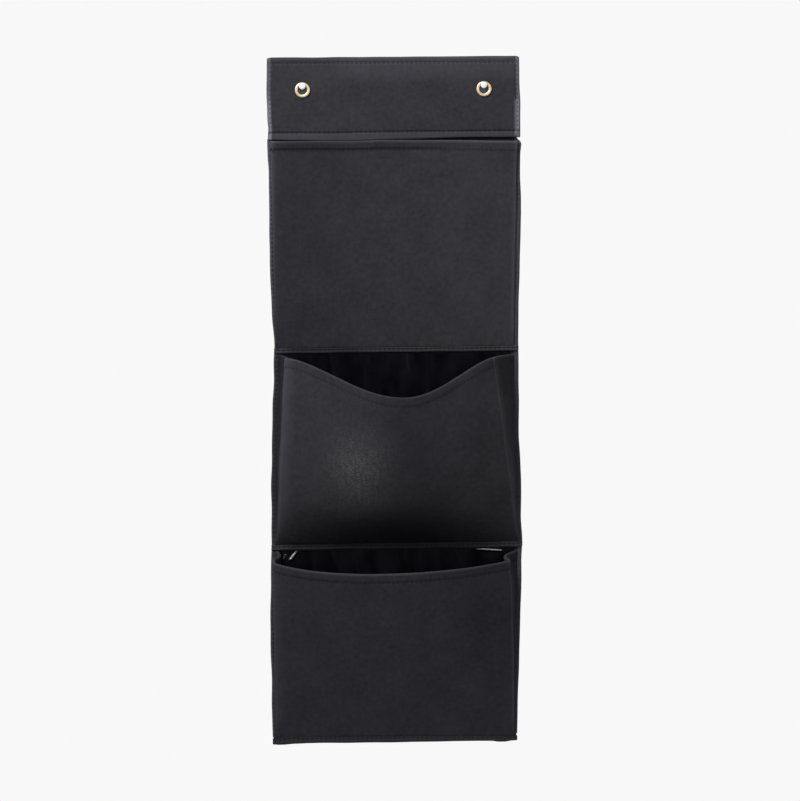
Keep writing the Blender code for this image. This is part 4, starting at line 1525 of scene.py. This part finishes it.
def make_back_lining(name):
    """Film on the panel behind a pocket, hanging in soft creases."""
    low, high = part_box("lining_back_" + name)
    foot = low.z + (FOOT_RISE if name == "bottom" else 0.0)
    high.z += STRIP_RISE["middle"] if name == "bottom" else 0.0
    if name == "top":
        levels = panel_levels(foot, high.z, FILM_STEP)
    else:
        dense = high.z - FILM_DENSE
        levels = np.concatenate([np.arange(foot, dense, FILM_STEP), np.linspace(dense, high.z, 41)])
    us = np.linspace(-1, 1, 261)
    z = levels[:, None] + 0 * us
    x = across(us, z, BINDING_LEG + 2 * CLOTH)
    hold = rise(z, foot, 0.03) * rise(1 - np.abs(us), 0, 0.06)
    seed = POCKETS[name]["film_seed"]
    loose = POCKETS[name]["loose"][1] * crumple(x + 0.2 * z, 0.3 * z, seed, 0.040)
    forward = PANEL_FRONT + GAP + loose * hold
    white = 0 * x
    if name == "bottom":
        # Each hard fold carries a painted white glint along its crest
        for first, second, width, height, whiteness in HARD_FOLDS:
            fold = ridge(x, z, first, second, width, height)
            forward = forward + fold
            white = np.maximum(white, whiteness * smooth(fold / height * 1.6 - 0.3))
    if name == "top":
        z = z - 0.006 * rise(x, 0.085, 0.020) * rise(z, high.z - 0.020, 0.020)
    z = z + tilt(x, z)
    sway = panel_sway(x, z)
    outer = points_at(x, -forward - LINING + sway, z)
    inner = points_at(x, -forward + sway, z)
    film = closed_sheet("film_back_" + name, outer, inner, lining_film, values={"wear_and_highlight": white})
    carrier = "swing" if name == "top" else "panel"
    attach(film, carrier, "lining_back_" + name, slot="lining_film")
    width = 2 * float(np.max(x))


CAMERA_DISTANCE = 3.5
FRAME_WIDTH = 0.960
VIEW_CENTRE = (0.0072, -0.3720)
CAMERA_ROLL = 0.15
SENSOR = 36.0


def make_camera():
    data = bpy.data.cameras.new("camera")
    data.sensor_width = SENSOR
    data.lens = SENSOR * CAMERA_DISTANCE / FRAME_WIDTH
    camera = linked(bpy.data.objects.new("camera", data))
    camera.location = (VIEW_CENTRE[0], -CAMERA_DISTANCE, VIEW_CENTRE[1])
    camera.rotation_euler = (math.pi / 2, math.radians(CAMERA_ROLL), 0.0)
    bpy.context.scene.camera = camera


# Each lamp: its name, its place, the height that it points at, its size and its power
LAMPS = (
    ("key", (-0.90, -1.35, 1.15), -0.25, 0.9, 53.0),
    ("fill", (1.60, -2.20, 0.30), -0.35, 1.6, 13.0),
    ("rim", (0.50, 1.30, 1.00), -0.30, 1.2, 8.0),
)


def area_light(name, place, target, size, power):
    data = bpy.data.lights.new(name, "AREA")
    data.shape = "SQUARE"
    data.size = size
    data.energy = power
    light = linked(bpy.data.objects.new(name, data))
    light.location = place
    toward = Vector((0.0, 0.0, target)) - Vector(place)
    light.rotation_euler = toward.to_track_quat("-Z", "Y").to_euler()


PAPER = (0.939, 0.939, 0.939)
AMBIENT = (0.05, 0.05, 0.05)
FLOOR_TONES = ((0.80, 0.80, 0.80), (0.84, 0.84, 0.84))
FLOOR_BELOW = 0.50
FLOOR_RADIUS = 1.6


def make_studio():
    """A pale floor, a white backdrop for the camera and three soft lamps."""
    scene = bpy.context.scene
    scene.view_settings.view_transform = "Standard"
    studio = Look("studio", bpy.data.worlds, "Background")
    scene.world = studio.made
    ray = studio.node("ShaderNodeLightPath").outputs
    seen = studio.op("MAXIMUM", ray["Is Camera Ray"], ray["Is Transmission Ray"])
    seen = studio.op("MAXIMUM", seen, ray["Is Glossy Ray"])
    studio.set("Color", studio.mixed(seen, AMBIENT, PAPER))
    studio.set("Strength", 1.0)

    place = (0, 0, PANEL_FOOT - FLOOR_BELOW)
    bpy.ops.mesh.primitive_circle_add(
        vertices=96, radius=FLOOR_RADIUS, fill_type="NGON", location=place
    )
    floor = bpy.context.object
    floor.name = "floor"
    look = Look("floor")
    look.set("Base Color", look.mixed(look.noise(look.in_space(), 3.0), *FLOOR_TONES))
    look.set("Roughness", 0.9)
    look.set("Specular IOR Level", 0.1)
    floor.data.materials.append(look.made)
    for lamp in LAMPS:
        area_light(*lamp)


make_header()
make_eyelets()
make_nails()
make_panel()
make_bindings()
make_seam_strips()
make_foot_hem()
for pocket_name in POCKETS:
    make_pocket(pocket_name)
    make_back_lining(pocket_name)
make_camera()
make_studio()
